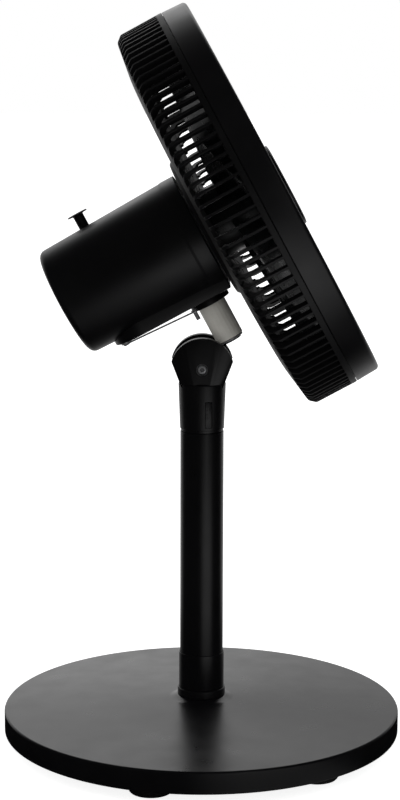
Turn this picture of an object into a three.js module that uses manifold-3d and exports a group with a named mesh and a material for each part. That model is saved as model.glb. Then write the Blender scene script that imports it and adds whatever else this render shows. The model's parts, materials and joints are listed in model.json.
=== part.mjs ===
// Air circulator fan on a short round-based stand. Millimetres, +Z up, floor at Z = 0.
// The origin is on the floor under the middle of the base, and the fan blows towards +X.
// The head is built in its own frame, with its origin at the tilt pivot: X runs forward along
// the fan axis, Z runs up along the swivel axis.

import * as THREE from 'three';
import { mergeVertices } from 'three/addons/utils/BufferGeometryUtils.js';
import Module from 'manifold-3d';

const wasm = await Module();
wasm.setup();

// ---------------------------------------------------------------- driving dimensions

// Clearances, how far a cutter and a joined piece run past a face, and facet counts
const GAP = 0.3;
const FACETS_LARGE = 48;
const FACETS_GUARD = 40;
const FACETS_MID = 24;
const FACETS_INNER = 16;
const FACETS_SMALL = 12;
const FACETS_TINY = 8;
const CUT = 5;
const WELD = 1;

// Feet
const FOOT_COUNT = 6;
const FOOT_HEIGHT = 11;
const FOOT_RADIUS = 18;
const FOOT_TAPER = 1.5;
const FOOT_INSET = 32;
const FOOT_PHASE = THREE.MathUtils.degToRad(-107);

// Base
const BASE_RADIUS = 170;
const BASE_RIM = 18.7;
const BASE_EDGE = 1.6;
const BASE_RISE = 7;
const FLARE_RADIUS = 28;
const FLARE_RISE = 2.3;
const COVER_WALL = 2.5;
const PLATE_THICKNESS = 3;
const WEIGHT_MARGIN = 10;
const WEIGHT_THICKNESS = 5;
const WEIGHT_BOSS_RADIUS = 26;
const COLLAR_RADIUS = 20.4;
const COLLAR_HEIGHT = 6.7;
const BOLT_RADIUS = 4;
const BOLT_HEAD_RADIUS = 9;
const BOLT_HEAD = 4.5;
const BOLT_REACH = 14;
const GLAND_RADIUS = 3.6;
const GLAND_BORE = 2.4;
const GLAND_FLANGE = 5;
const GLAND_FLANGE_THICKNESS = 3;
const GLAND_PROUD = 1.5;

// Pole
const POLE_RADIUS = 18.4;
const POLE_WALL = 1.5;
const POLE_LENGTH = 243.3;
const SLEEVE_WALL = 0.6;
const SLEEVE_LENGTH = 31;
const POLE_FOOT_LENGTH = 18;

// Neck and fork
const SPIGOT_LENGTH = 30;
const NECK_GROOVE = 2.2;
const NECK_GROOVE_DEPTH = 0.8;
const NECK_BOTTOM_RADIUS = 18.7;
const NECK_TOP_RADIUS = 21;
const NECK_LENGTH = 37.5;
const NECK_BORE = 6;
const NECK_TO_PIVOT = 14.3;
const EAR_RADIUS = 27;
const EAR_SHOULDER_X = 26.4;
const EAR_FOOT_X = 20.5;
const EAR_HALF_WIDTH = 18.5;
const EAR_ROOT = 6;
const SLOT_HALF_WIDTH = 11;
const SLOT_DEPTH = 23.5;
const PIVOT_AXLE_RADIUS = 5;
const PIVOT_BOLT_RADIUS = 2.5;
const PIVOT_HEAD_RADIUS = 3.7;
const PIVOT_SINK_RADIUS = 5.2;
const PIVOT_SINK_DEPTH = 2.6;
const PIVOT_HEAD_THICKNESS = 2;
const CROSS_REACH = 2.2;
const CROSS_HALF_WIDTH = 0.45;
const CROSS_DEPTH = 1;
const PIVOT_WASHER_RADIUS = 11;
const PIVOT_WASHER = 0.8;

// Latch button on the near side of the neck
const LATCH_X = 5.5;
const LATCH_HALF_WIDTH = 2.7;
const LATCH_BOTTOM = 2.5;
const LATCH_LENGTH = 22;
const LATCH_PROUD = 0.5;
const LATCH_DEPTH = 14;
const LATCH_POCKET = 7;
const SPRING_COIL_RADIUS = 1.7;
const SPRING_WIRE_RADIUS = 0.35;
const SPRING_TURNS = 3;
const SPRING_FACETS = 5;
const SPRING_LENGTH = 3.6;

// Tilt bracket, in the head's frame
const HEAD_TILT = THREE.MathUtils.degToRad(28.5);
const TONGUE_RADIUS = 22.4;
const TONGUE_HALF_WIDTH = 9.6;
const BRACKET_HALF_WIDTH = 20;
const BRACKET_CORNER = 9;
const BRACKET_RELIEF = 28;
const BRACKET_TOP = 44.3;
const FLANGE_THICKNESS = 4;
const FLANGE_RADIUS = 23.4;
const SOCKET_RADIUS = 19.1;
const SOCKET_BOTTOM = 4.4;
const SOCKET_FLOOR = 3.6;

// Swivel
const SWIVEL_X = 32.5;
const POST_RADIUS = 9;
const POST_BORE = 5;
const BUSH_WALL = 2.7;
const BOSS_RADIUS = 17.2;
const CLIP_GROOVE_RADIUS = 7;
const CLIP_THICKNESS = 1.2;
const CLIP_WIDTH = 4;
const POST_TAIL = 1;
const POST_NUT_RADIUS = 14;
const POST_NUT = 4;

// Oscillation drive
const CRANK_X = -31.7;
const CRANK_Y = 14;
const CRANK_RADIUS = 21;
const CRANK_ANGLE = THREE.MathUtils.degToRad(225);
const CRANK_SHAFT_RADIUS = 4;
const CRANK_SHAFT_TOP = 109;
const CRANK_ARM_HALF_WIDTH = 4.2;
const CRANK_ARM_THICKNESS = 1.7;
const CRANK_ARM_DROP = 0.6;
const LINK_LIFT = 0.9;
const LINK_THICKNESS = 1.5;
const LINK_HALF_WIDTH = 2.9;
const LINK_PIN_RADIUS = 1.8;
const LINK_PIN_HEAD = 2.7;
const LINK_PIN_HEAD_THICKNESS = 0.8;
const LINK_PIN_DEPTH = 6;
const WHEEL_RADIUS = 8.3;
const WHEEL_TOOTH = 0.9;
const WHEEL_TEETH = 14;
const WHEEL_BOTTOM = 98;
const WHEEL_HEIGHT = 8;

// Fan axis and motor cover
const FAN_Z = 102;
const COVER_REAR = -75.5;
const COVER_REAR_RADIUS = 47.3;
const COVER_EDGE = 6;
const COVER_STEP = 40;
const COVER_STEP_RADIUS = 50.3;
const COVER_FRONT = 54.5;
const COVER_LIP_RADIUS = 52;
const COVER_LIP_ROUND = 0.8;
const SHELL_WALL = 2.5;
const PAD_BOTTOM = 50.5;
const PAD_HALF_WIDTH = 27;
const PAD_REAR_CENTRE = -27.5;
const PAD_HEIGHT = 14;
const PAD_WALL = 3;
const DIAL_RADIUS = 16.4;
const DIAL_THICKNESS = 4.5;
const DIAL_RIM = 2;
const DIAL_WELL_DEPTH = 5;
const DIAL_GRIP_HALF_WIDTH = 2.4;
const DIAL_GRIP_DEPTH = 2.6;
const DIAL_STEM_RADIUS = 3;
const SWITCH_SIZE = 24;
const SWITCH_DEPTH = 13;

// Motor mounting plate
const MOUNT_THICKNESS = 4.2;
const MOUNT_RING_RADIUS = 32;
const MOUNT_RING_WALL = 3;
const STANDOFF_COUNT = 3;
const STANDOFF_RADIUS = 4;
const STANDOFF_CIRCLE = 28;
const COVER_SCREW_CIRCLE = 43.5;
const COVER_SCREW_RADIUS = 1.5;
const COVER_SCREW_HEAD = 2.7;
const COVER_SCREW_HEAD_THICKNESS = 1.8;
const COVER_SCREW_LENGTH = 9;
const COVER_BOSS_HALF_WIDTH = 3.6;
const COVER_BOSS_LENGTH = 10;
const COVER_BOSS_INNER = 40;

// Motor
const SHAFT_RADIUS = 4;
const SHAFT_REAR = -41;
const BELL_RADIUS = 42;
const BELL_DISC = 4;
const REAR_BELL_FRONT = -8.3;
const REAR_BELL_LENGTH = 8.4;
const REAR_BELL_HUB = 14;
const STATOR_REAR = -4;
const STATOR_LENGTH = 34;
const STATOR_RADIUS = 35;
const STATOR_BORE = 22;
const STATOR_LUG_RADIUS = 39;
const WINDING_OUTER = 30.5;
const WINDING_INNER = 24;
const WINDING_DEPTH = 3.4;
const ROTOR_LENGTH = 31;
const BUSHING_WALL = 3;
const BUSHING_LENGTH = 7;
const BUSHING_LIP = 1;
const BELL_BOSS_RADIUS = 12;
const BELL_BOSS_FRONT = 68;
const CASE_X = [-46, -17];
const CASE_Y = [-8, 28];
const CASE_Z = [88, 111.2];
const CASE_WALL = 2.5;
const LID_THICKNESS = 2.5;
const WORM_X = [-39, -24];
const WORM_RADIUS = 5.4;
const WORM_ROOT = 4.9;
const WORM_PITCH = 5;
const CAPACITOR_WIDTH = 12;
const CAPACITOR_HEIGHT = 22;

// Knob that engages the oscillation
const KNOB_TOP = 163;
const KNOB_RADIUS = 8.85;
const KNOB_DISC = 2.4;
const KNOB_STEM_RADIUS = 4.5;
const KNOB_FLARE = 5;
const KNOB_EDGE = 0.5;
const KNOB_STEM_BOTTOM = 118;

// Rear guard: axial places are measured along X in the head's frame
const GUARD_RADIUS = 172;
const GUARD_WALL = 3.2;
const GUARD_HUB_REAR = 56.5;
const GUARD_HUB_RADIUS = 60;
const GUARD_HUB_THICKNESS = 3;
const GUARD_CONE_STEP = 3;
const GUARD_CONE_X = 59.7;
const GUARD_BAND = 32;
const GUARD_FLAT_X = 62.5;
const GUARD_CORNER = 4;
const GUARD_CORNER_X = 66.8;
const GUARD_SIDE_X = 71.5;
const GUARD_SLOT_END = 104.5;
const GUARD_FRONT = 109.5;
const RIB_COUNT = 80;
const RIB_WIDTH = 3.3;
const SIDE_SLOT_DEPTH = 11;
const SPOKE_COUNT = 40;
const SPOKE_WIDTH = 2.8;
const SPOKE_BORDER = 4;
const SPOKE_END = 2;
const GUARD_NUT_RADIUS = 20;
const GUARD_NUT = 6;

// Front ring, grille and cap
const RING_STEP = 0.2;
const RING_DRAFT = 1;
const RING_FRONT = 131;
const RING_EDGE_LENGTH = 2.6;
const RING_EDGE_DEPTH = 2.8;
const RING_BORDER = 12;
const RING_WALL = 3.2;
const RING_LIP_LENGTH = 5.8;
const RING_LIP_WALL = 2.5;
const GRILLE_DEPTH = 6.3;
const GRILLE_MARGIN = 1.1;
const GRILLE_HUB_RADIUS = 41;
const GRILLE_BORDER = 4.5;
const FIN_COUNT = 36;
const FIN_STEPS = 3;
const FIN_WIDTH = 2.4;
const FIN_SWEEP = THREE.MathUtils.degToRad(38);
const CAP_RADIUS = 36;
const CAP_FRONT = 135.5;
const CAP_EDGE = 1.5;
const CAP_SPIGOT_RADIUS = 8;
const CAP_SPIGOT_LENGTH = 5;

// Impeller
const BLADE_COUNT = 7;
const BLADE_CLEARANCE = 20;
const BLADE_ROOT_SINK = 2;
const BLADE_THICKNESS = 2.4;
const BLADE_ROOT_REAR = 80;
const BLADE_ROOT_FRONT = 110;
const BLADE_TIP_REAR = 90;
const BLADE_TIP_FRONT = 117;
const BLADE_ROOT_SPAN = THREE.MathUtils.degToRad(34);
const BLADE_TIP_SPAN = THREE.MathUtils.degToRad(40);
const BLADE_SWEEP = THREE.MathUtils.degToRad(16);
const BLADE_STATIONS = 3;
const BLADE_CHORD_STEPS = 3;
const BLADE_CAMBER = 0.1;
const BLADE_EDGE_SHARE = 0.35;
const HUB_RADIUS = 30;
const HUB_REAR = 77;
const HUB_FRONT = 112;
const HUB_EDGE = 5;
const IMPELLER_NUT_RADIUS = 9;
const IMPELLER_NUT = 8.5;
const IMPELLER_NUT_EDGE = 3;
const SHAFT_PAST_HUB = 5.5;

// ---------------------------------------------------------------- derived levels

const FOOT_CIRCLE = BASE_RADIUS - FOOT_INSET;
const WEIGHT_RADIUS = BASE_RADIUS - WEIGHT_MARGIN;
const BASE_BOTTOM = FOOT_HEIGHT;
const RIM_TOP = BASE_BOTTOM + BASE_RIM;
const CONE_TOP = RIM_TOP + BASE_RISE;
const FLARE_TOP = CONE_TOP + FLARE_RISE;
const PLATE_TOP = BASE_BOTTOM + PLATE_THICKNESS;
const WEIGHT_TOP = RIM_TOP - COVER_WALL - GAP;
const COLLAR_BOTTOM = FLARE_TOP + GAP;
const SLEEVE_BOTTOM = COLLAR_BOTTOM + COLLAR_HEIGHT + GAP;
const POLE_BOTTOM = WEIGHT_TOP + GAP;
const POLE_TOP = POLE_BOTTOM + POLE_LENGTH;
const POLE_BORE = POLE_RADIUS - POLE_WALL;
const NECK_GROOVE_BOTTOM = POLE_TOP + GAP;
const NECK_BOTTOM = NECK_GROOVE_BOTTOM + NECK_GROOVE;
const NECK_TOP = NECK_BOTTOM + NECK_LENGTH;
const PIVOT_Z = NECK_TOP + NECK_TO_PIVOT;
const BORE_BOTTOM = SOCKET_BOTTOM + SOCKET_FLOOR;
const SOCKET_BORE = POST_RADIUS + BUSH_WALL + 2 * GAP;
const ANCHOR_X = SWIVEL_X + CRANK_RADIUS * Math.cos(CRANK_ANGLE);
const ANCHOR_Y = CRANK_RADIUS * Math.sin(CRANK_ANGLE);
const PIN_X = CRANK_X + CRANK_RADIUS * Math.cos(CRANK_ANGLE);
const PIN_Y = CRANK_Y + CRANK_RADIUS * Math.sin(CRANK_ANGLE);
const ARM_TOP = PAD_BOTTOM - CRANK_ARM_DROP;
const ARM_BOTTOM = ARM_TOP - CRANK_ARM_THICKNESS;
const LINK_BOTTOM = BRACKET_TOP + LINK_LIFT;
const LINK_TOP = LINK_BOTTOM + LINK_THICKNESS;
const MOUNT_REAR = COVER_FRONT - GAP - MOUNT_THICKNESS;
const FRONT_BELL_REAR = STATOR_REAR + STATOR_LENGTH + WINDING_DEPTH + 2 * GAP;
const FRONT_BELL_FRONT = FRONT_BELL_REAR + BELL_DISC;
const WELL_FLOOR = COVER_REAR + DIAL_WELL_DEPTH;
const GRILLE_FRONT = RING_FRONT - GAP;
const GRILLE_REAR = GRILLE_FRONT - GRILLE_DEPTH;
const CAP_REAR = RING_FRONT;
const GUARD_FLAT_RADIUS = GUARD_RADIUS - GUARD_BAND;
const GUARD_CORNER_RADIUS = GUARD_RADIUS - GUARD_CORNER;
const SIDE_SLOT_INNER = GUARD_RADIUS - SIDE_SLOT_DEPTH;
const SPOKE_INNER = GUARD_HUB_RADIUS + SPOKE_BORDER;
const SPOKE_OUTER = GUARD_FLAT_RADIUS - SPOKE_END;
const RING_REAR_RADIUS = GUARD_RADIUS - RING_STEP;
const RING_CORNER_RADIUS = RING_REAR_RADIUS - RING_DRAFT;
const RING_CORNER_X = RING_FRONT - RING_EDGE_LENGTH;
const RING_FILLET_RADIUS = RING_CORNER_RADIUS - RING_EDGE_DEPTH;
const RING_OPENING = GUARD_RADIUS - RING_BORDER;
const GRILLE_RIM_RADIUS = RING_CORNER_RADIUS - RING_WALL - GRILLE_MARGIN;
const BLADE_TIP = GUARD_RADIUS - BLADE_CLEARANCE;

// ---------------------------------------------------------------- materials

function finish(color, roughness, metalness) {
  return new THREE.MeshStandardMaterial({ color, roughness, metalness });
}

const blackShell = finish(0x101012, 0.42, 0.0);
const blackPaint = finish(0x131316, 0.35, 0.2);
const rubber = finish(0x0c0c0c, 0.85, 0.0);
const steel = finish(0x9a9da2, 0.3, 0.95);
const castIron = finish(0x4a4c4f, 0.7, 0.8);
const aluminium = finish(0xb5b8bc, 0.4, 0.9);
const laminations = finish(0x6b6d70, 0.55, 0.85);
const copper = finish(0xb06a3a, 0.4, 0.8);
const brass = finish(0xb59a5a, 0.35, 0.9);
const nylon = finish(0xdcd8cc, 0.5, 0.0);
const bladePlastic = finish(0x1b2326, 0.3, 0.0);
const greyPlastic = finish(0x3a3d40, 0.6, 0.0);

// ---------------------------------------------------------------- solid helpers

function signedVolume(position, triangles) {
  const a = new THREE.Vector3();
  const b = new THREE.Vector3();
  const c = new THREE.Vector3();
  let total = 0;
  for (let i = 0; i < triangles.length; i += 3) {
    a.fromArray(position, 3 * triangles[i]);
    b.fromArray(position, 3 * triangles[i + 1]);
    c.fromArray(position, 3 * triangles[i + 2]);
    total += a.dot(b.cross(c)) / 6;
  }
  return total;
}

function solidOf(geometry) {
  const bare = geometry.clone();
  bare.deleteAttribute('normal');
  bare.deleteAttribute('uv');
  const merged = mergeVertices(bare, 1e-4);
  const position = merged.getAttribute('position').array;
  const index = merged.index.array;
  const triangles = [];
  for (let i = 0; i < index.length; i += 3) {
    const [p, q, r] = [index[i], index[i + 1], index[i + 2]];
    if (p !== q && q !== r && r !== p) triangles.push(p, q, r);
  }
  if (signedVolume(position, triangles) < 0) triangles.reverse();
  const mesh = new wasm.Mesh({
    numProp: 3,
    vertProperties: Float32Array.from(position),
    triVerts: Uint32Array.from(triangles),
  });
  return new wasm.Manifold(mesh);
}

function box(x0, x1, y0, y1, z0, z1) {
  const geometry = new THREE.BoxGeometry(x1 - x0, y1 - y0, z1 - z0);
  geometry.translate((x0 + x1) / 2, (y0 + y1) / 2, (z0 + z1) / 2);
  return solidOf(geometry);
}

function rod(axis, radius, start, end, centre, facets) {
  const geometry = new THREE.CylinderGeometry(radius, radius, end - start, facets);
  geometry.translate(0, (start + end) / 2, 0);
  if (axis === 'x') geometry.rotateZ(-Math.PI / 2);
  if (axis === 'z') geometry.rotateX(Math.PI / 2);
  geometry.translate(...centre);
  return solidOf(geometry);
}

function rodX(radius, x0, x1, y, z, facets = FACETS_SMALL) {
  return rod('x', radius, x0, x1, [0, y, z], facets);
}

function rodY(radius, y0, y1, x, z, facets = FACETS_SMALL) {
  return rod('y', radius, y0, y1, [x, 0, z], facets);
}

function rodZ(radius, z0, z1, x = 0, y = 0, facets = FACETS_SMALL) {
  return rod('z', radius, z0, z1, [x, y, 0], facets);
}

// A profile is a list of [radius, place along the axis] points.
function turned(profile, facets) {
  const points = profile.map(([radius, along]) => new THREE.Vector2(radius, along));
  return new THREE.LatheGeometry(points, facets);
}

function turnedZ(profile, facets = FACETS_MID) {
  const geometry = turned(profile, facets);
  geometry.rotateX(Math.PI / 2);
  return solidOf(geometry);
}

function turnedX(profile, facets = FACETS_MID) {
  const geometry = turned(profile, facets);
  geometry.rotateZ(-Math.PI / 2);
  geometry.translate(0, 0, FAN_Z);
  return solidOf(geometry);
}

function tube(outer, inner, start, end) {
  return [[inner, start], [outer, start], [outer, end], [inner, end], [inner, start]];
}

function polygon(points) {
  const shape = new THREE.Shape();
  points.forEach(([x, y], i) => (i ? shape.lineTo(x, y) : shape.moveTo(x, y)));
  shape.closePath();
  return shape;
}

// Extrudes a plan in XY upwards.
function prismZ(shape, z0, z1, curveSegments = FACETS_TINY) {
  const geometry = new THREE.ExtrudeGeometry(shape, { depth: z1 - z0, bevelEnabled: false, curveSegments });
  geometry.translate(0, 0, z0);
  return solidOf(geometry);
}

// Extrudes a side view in XZ across Y.
function prismY(shape, y0, y1, curveSegments = FACETS_TINY) {
  const geometry = new THREE.ExtrudeGeometry(shape, { depth: y1 - y0, bevelEnabled: false, curveSegments });
  geometry.rotateX(Math.PI / 2);
  geometry.translate(0, y1, 0);
  return solidOf(geometry);
}

// Extrudes a front view, given as (Y, height above the fan axis), forward along X.
function prismX(shape, x0, x1) {
  const geometry = new THREE.ExtrudeGeometry(shape, { depth: x1 - x0, bevelEnabled: false });
  geometry.rotateX(Math.PI / 2);
  geometry.rotateZ(Math.PI / 2);
  geometry.translate(x0, 0, FAN_Z);
  return solidOf(geometry);
}

// Turns a solid about the fan axis.
function aboutFanAxis(body, angle) {
  const turn = new THREE.Matrix4().makeTranslation(0, 0, FAN_Z);
  turn.multiply(new THREE.Matrix4().makeRotationX(angle));
  turn.multiply(new THREE.Matrix4().makeTranslation(0, 0, -FAN_Z));
  return body.transform(turn.elements);
}

function roundAxis(body, count, phase = 0) {
  const copies = [];
  for (let i = 0; i < count; i += 1) {
    copies.push(aboutFanAxis(body, phase + (2 * Math.PI * i) / count));
  }
  return wasm.Manifold.union(copies);
}

function piece(group, name, body, material) {
  const mesh = body.getMesh();
  const geometry = new THREE.BufferGeometry();
  geometry.setAttribute('position', new THREE.BufferAttribute(Float32Array.from(mesh.vertProperties), 3));
  geometry.setIndex(Array.from(mesh.triVerts));
  geometry.computeVertexNormals();
  const made = new THREE.Mesh(geometry, material);
  made.name = name;
  group.add(made);
  return made;
}

// ---------------------------------------------------------------- stand

function makeFeet(group) {
  for (let i = 0; i < FOOT_COUNT; i += 1) {
    const angle = FOOT_PHASE + (2 * Math.PI * i) / FOOT_COUNT;
    const foot = turnedZ([
      [0, 0],
      [FOOT_RADIUS - FOOT_TAPER, 0],
      [FOOT_RADIUS, FOOT_TAPER],
      [FOOT_RADIUS, FOOT_HEIGHT - GAP],
      [0, FOOT_HEIGHT - GAP],
    ], FACETS_SMALL);
    const made = piece(group, `foot_${i + 1}`, foot, rubber);
    made.position.set(FOOT_CIRCLE * Math.cos(angle), FOOT_CIRCLE * Math.sin(angle), 0);
  }
}

function makeBaseCover() {
  const bore = POLE_RADIUS + GAP;
  const innerRadius = BASE_RADIUS - COVER_WALL;
  const innerTop = RIM_TOP - COVER_WALL;
  const shell = turnedZ([
    [innerRadius, BASE_BOTTOM],
    [BASE_RADIUS, BASE_BOTTOM],
    [BASE_RADIUS, RIM_TOP - BASE_EDGE],
    [BASE_RADIUS - BASE_EDGE, RIM_TOP],
    [FLARE_RADIUS, CONE_TOP],
    [(FLARE_RADIUS + COLLAR_RADIUS) / 2, CONE_TOP + FLARE_RISE * 0.35],
    [COLLAR_RADIUS + GAP, FLARE_TOP],
    [bore, FLARE_TOP],
    [bore, CONE_TOP - COVER_WALL],
    [innerRadius, innerTop],
    [innerRadius, BASE_BOTTOM],
  ], FACETS_LARGE);
  return shell.subtract(glandHole());
}

function glandHeight() {
  return (PLATE_TOP + RIM_TOP) / 2;
}

function glandHole() {
  return rodY(GLAND_RADIUS + GAP, BASE_RADIUS - CUT, BASE_RADIUS + CUT, 0, glandHeight());
}

function makeGland() {
  const wallInside = BASE_RADIUS - COVER_WALL;
  const z = glandHeight();
  const flangeEnd = wallInside - 2 * GAP;
  const start = flangeEnd - GLAND_FLANGE_THICKNESS;
  const neck = rodY(GLAND_RADIUS, start, BASE_RADIUS + GLAND_PROUD, 0, z);
  const flange = rodY(GLAND_FLANGE, start, flangeEnd, 0, z);
  const bore = rodY(GLAND_BORE, start - CUT, BASE_RADIUS + CUT, 0, z);
  return neck.add(flange).subtract(bore);
}

function makePoleFoot() {
  const bottom = POLE_BOTTOM + GAP;
  const plug = rodZ(POLE_BORE - GAP, bottom, bottom + POLE_FOOT_LENGTH, 0, 0, FACETS_MID);
  return plug.subtract(rodZ(BOLT_RADIUS + GAP, bottom - CUT, bottom + BOLT_REACH));
}

function makeBaseBolt() {
  const headTop = BASE_BOTTOM - GAP;
  const shank = rodZ(BOLT_RADIUS, headTop - WELD, POLE_BOTTOM + BOLT_REACH - GAP);
  return shank.add(rodZ(BOLT_HEAD_RADIUS, headTop - BOLT_HEAD, headTop));
}

// A flat ring with a boss in the middle, on which the pole stands.
function makeWeight(bore) {
  const bottom = PLATE_TOP + GAP;
  const discTop = bottom + WEIGHT_THICKNESS;
  return turnedZ([
    [bore, bottom],
    [WEIGHT_RADIUS, bottom],
    [WEIGHT_RADIUS, discTop],
    [WEIGHT_BOSS_RADIUS, discTop],
    [WEIGHT_BOSS_RADIUS, WEIGHT_TOP],
    [bore, WEIGHT_TOP],
    [bore, bottom],
  ]);
}

function makeStand(group) {
  makeFeet(group);
  const boltHole = BOLT_RADIUS + GAP;
  const plateRadius = BASE_RADIUS - COVER_WALL - GAP;
  const plate = turnedZ(tube(plateRadius, boltHole, BASE_BOTTOM, PLATE_TOP), FACETS_LARGE);
  const bore = POLE_RADIUS + GAP;
  const collar = tube(COLLAR_RADIUS, bore, COLLAR_BOTTOM, COLLAR_BOTTOM + COLLAR_HEIGHT);
  const sleeve = tube(bore + SLEEVE_WALL, bore, SLEEVE_BOTTOM, SLEEVE_BOTTOM + SLEEVE_LENGTH);
  piece(group, 'base_cover', makeBaseCover(), blackPaint);
  piece(group, 'base_plate', plate, greyPlastic);
  piece(group, 'base_weight', makeWeight(boltHole), castIron);
  piece(group, 'cord_gland', makeGland(), rubber);
  piece(group, 'base_bolt', makeBaseBolt(), steel);
  piece(group, 'pole_foot', makePoleFoot(), steel);
  piece(group, 'base_collar', turnedZ(collar), blackShell);
  piece(group, 'pole_sleeve', turnedZ(sleeve), blackPaint);
  piece(group, 'pole_tube', turnedZ(tube(POLE_RADIUS, POLE_BORE, POLE_BOTTOM, POLE_TOP)), blackPaint);
}

// ---------------------------------------------------------------- neck, fork and pivot

function neckRadiusAt(z) {
  const share = (z - NECK_BOTTOM) / NECK_LENGTH;
  return NECK_BOTTOM_RADIUS + share * (NECK_TOP_RADIUS - NECK_BOTTOM_RADIUS);
}

function earOutline() {
  const shoulderZ = Math.sqrt(EAR_RADIUS ** 2 - EAR_SHOULDER_X ** 2);
  const shoulderAngle = Math.atan2(shoulderZ, EAR_SHOULDER_X);
  const shape = new THREE.Shape();
  shape.moveTo(-EAR_FOOT_X, PIVOT_Z - NECK_TO_PIVOT - EAR_ROOT);
  shape.lineTo(EAR_FOOT_X, PIVOT_Z - NECK_TO_PIVOT - EAR_ROOT);
  shape.lineTo(EAR_FOOT_X, PIVOT_Z - NECK_TO_PIVOT);
  shape.lineTo(EAR_SHOULDER_X, PIVOT_Z + shoulderZ);
  shape.absarc(0, PIVOT_Z, EAR_RADIUS, shoulderAngle, Math.PI - shoulderAngle, false);
  shape.lineTo(-EAR_FOOT_X, PIVOT_Z - NECK_TO_PIVOT);
  shape.closePath();
  return shape;
}

function latchSpan() {
  return [NECK_BOTTOM + LATCH_BOTTOM, NECK_BOTTOM + LATCH_BOTTOM + LATCH_LENGTH];
}

function makeNeckFork() {
  const spigot = POLE_BORE - GAP;
  const groove = NECK_BOTTOM_RADIUS - NECK_GROOVE_DEPTH;
  const neck = turnedZ([
    [0, POLE_TOP - SPIGOT_LENGTH],
    [spigot, POLE_TOP - SPIGOT_LENGTH],
    [spigot, NECK_GROOVE_BOTTOM],
    [groove, NECK_GROOVE_BOTTOM],
    [groove, NECK_BOTTOM],
    [NECK_BOTTOM_RADIUS, NECK_BOTTOM],
    [NECK_TOP_RADIUS, NECK_TOP],
    [0, NECK_TOP],
  ]);
  const [z0, z1] = latchSpan();
  const reach = EAR_HALF_WIDTH + CUT;
  const wide = 2 * EAR_RADIUS;
  const latchHalf = LATCH_HALF_WIDTH + GAP;
  const latchFront = -NECK_TOP_RADIUS - CUT;
  const sink = EAR_HALF_WIDTH - PIVOT_SINK_DEPTH;
  const cuts = [
    box(-wide, wide, -SLOT_HALF_WIDTH, SLOT_HALF_WIDTH, PIVOT_Z - SLOT_DEPTH, PIVOT_Z + wide),
    rodY(PIVOT_BOLT_RADIUS + GAP, -reach, reach, 0, PIVOT_Z),
    rodY(PIVOT_SINK_RADIUS, -reach, -sink, 0, PIVOT_Z),
    rodY(PIVOT_SINK_RADIUS, sink, reach, 0, PIVOT_Z),
    rodZ(NECK_BORE, POLE_TOP - SPIGOT_LENGTH - CUT, PIVOT_Z - SLOT_DEPTH + CUT),
    box(LATCH_X - latchHalf, LATCH_X + latchHalf, latchFront, -LATCH_POCKET, z0 - GAP, z1 + GAP),
  ];
  const ears = prismY(earOutline(), -EAR_HALF_WIDTH, EAR_HALF_WIDTH);
  return neck.add(ears).subtract(wasm.Manifold.union(cuts));
}

function makeLatch() {
  const [z0, z1] = latchSpan();
  const [x0, x1] = [LATCH_X - LATCH_HALF_WIDTH, LATCH_X + LATCH_HALF_WIDTH];
  const bar = box(x0, x1, -NECK_TOP_RADIUS - CUT, -LATCH_DEPTH, z0, z1);
  const skin = turnedZ([
    [0, NECK_BOTTOM],
    [NECK_BOTTOM_RADIUS + LATCH_PROUD, NECK_BOTTOM],
    [NECK_TOP_RADIUS + LATCH_PROUD, NECK_TOP],
    [0, NECK_TOP],
  ]);
  return bar.intersect(skin);
}

class Helix extends THREE.Curve {
  getPoint(t, target = new THREE.Vector3()) {
    const angle = 2 * Math.PI * SPRING_TURNS * t;
    const along = SPRING_WIRE_RADIUS + t * (SPRING_LENGTH - 2 * SPRING_WIRE_RADIUS);
    return target.set(SPRING_COIL_RADIUS * Math.cos(angle), along, SPRING_COIL_RADIUS * Math.sin(angle));
  }
}

function makeLatchSpring() {
  const r = SPRING_WIRE_RADIUS;
  const corners = [];
  for (let i = 0; i < SPRING_FACETS; i += 1) {
    const angle = (2 * Math.PI * i) / SPRING_FACETS;
    corners.push([r * Math.cos(angle), r * Math.sin(angle)]);
  }
  const section = polygon(corners);
  const options = { steps: FACETS_TINY * SPRING_TURNS, bevelEnabled: false, extrudePath: new Helix() };
  const geometry = new THREE.ExtrudeGeometry(section, options);
  const [z0, z1] = latchSpan();
  geometry.translate(LATCH_X, -LATCH_DEPTH + GAP, (z0 + z1) / 2);
  return solidOf(geometry);
}

function makePivotAxle() {
  const end = SLOT_HALF_WIDTH - GAP;
  const bar = rodY(PIVOT_AXLE_RADIUS, -end, end, 0, PIVOT_Z);
  return bar.subtract(rodY(PIVOT_BOLT_RADIUS + GAP, -end - CUT, end + CUT, 0, PIVOT_Z));
}

function makePivotWasher(side) {
  const outside = SLOT_HALF_WIDTH - GAP;
  const near = side * (outside - PIVOT_WASHER);
  const far = side * outside;
  const [y0, y1] = [Math.min(near, far), Math.max(near, far)];
  const disc = rodY(PIVOT_WASHER_RADIUS, y0, y1, 0, PIVOT_Z);
  return disc.subtract(rodY(PIVOT_AXLE_RADIUS + GAP, y0 - CUT, y1 + CUT, 0, PIVOT_Z));
}

function makePivotBolt() {
  const seat = EAR_HALF_WIDTH - PIVOT_SINK_DEPTH;
  const headStart = -seat - GAP - PIVOT_HEAD_THICKNESS;
  const head = rodY(PIVOT_HEAD_RADIUS, headStart, -seat - GAP, 0, PIVOT_Z);
  const shank = rodY(PIVOT_BOLT_RADIUS, -seat - WELD, seat + PIVOT_HEAD_THICKNESS, 0, PIVOT_Z);
  const [long, half] = [CROSS_REACH, CROSS_HALF_WIDTH];
  const [y0, y1] = [headStart - CUT, headStart + CROSS_DEPTH];
  const crossWide = box(-long, long, y0, y1, PIVOT_Z - half, PIVOT_Z + half);
  const crossTall = box(-half, half, y0, y1, PIVOT_Z - long, PIVOT_Z + long);
  return head.add(shank).subtract(crossWide).subtract(crossTall);
}

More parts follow.
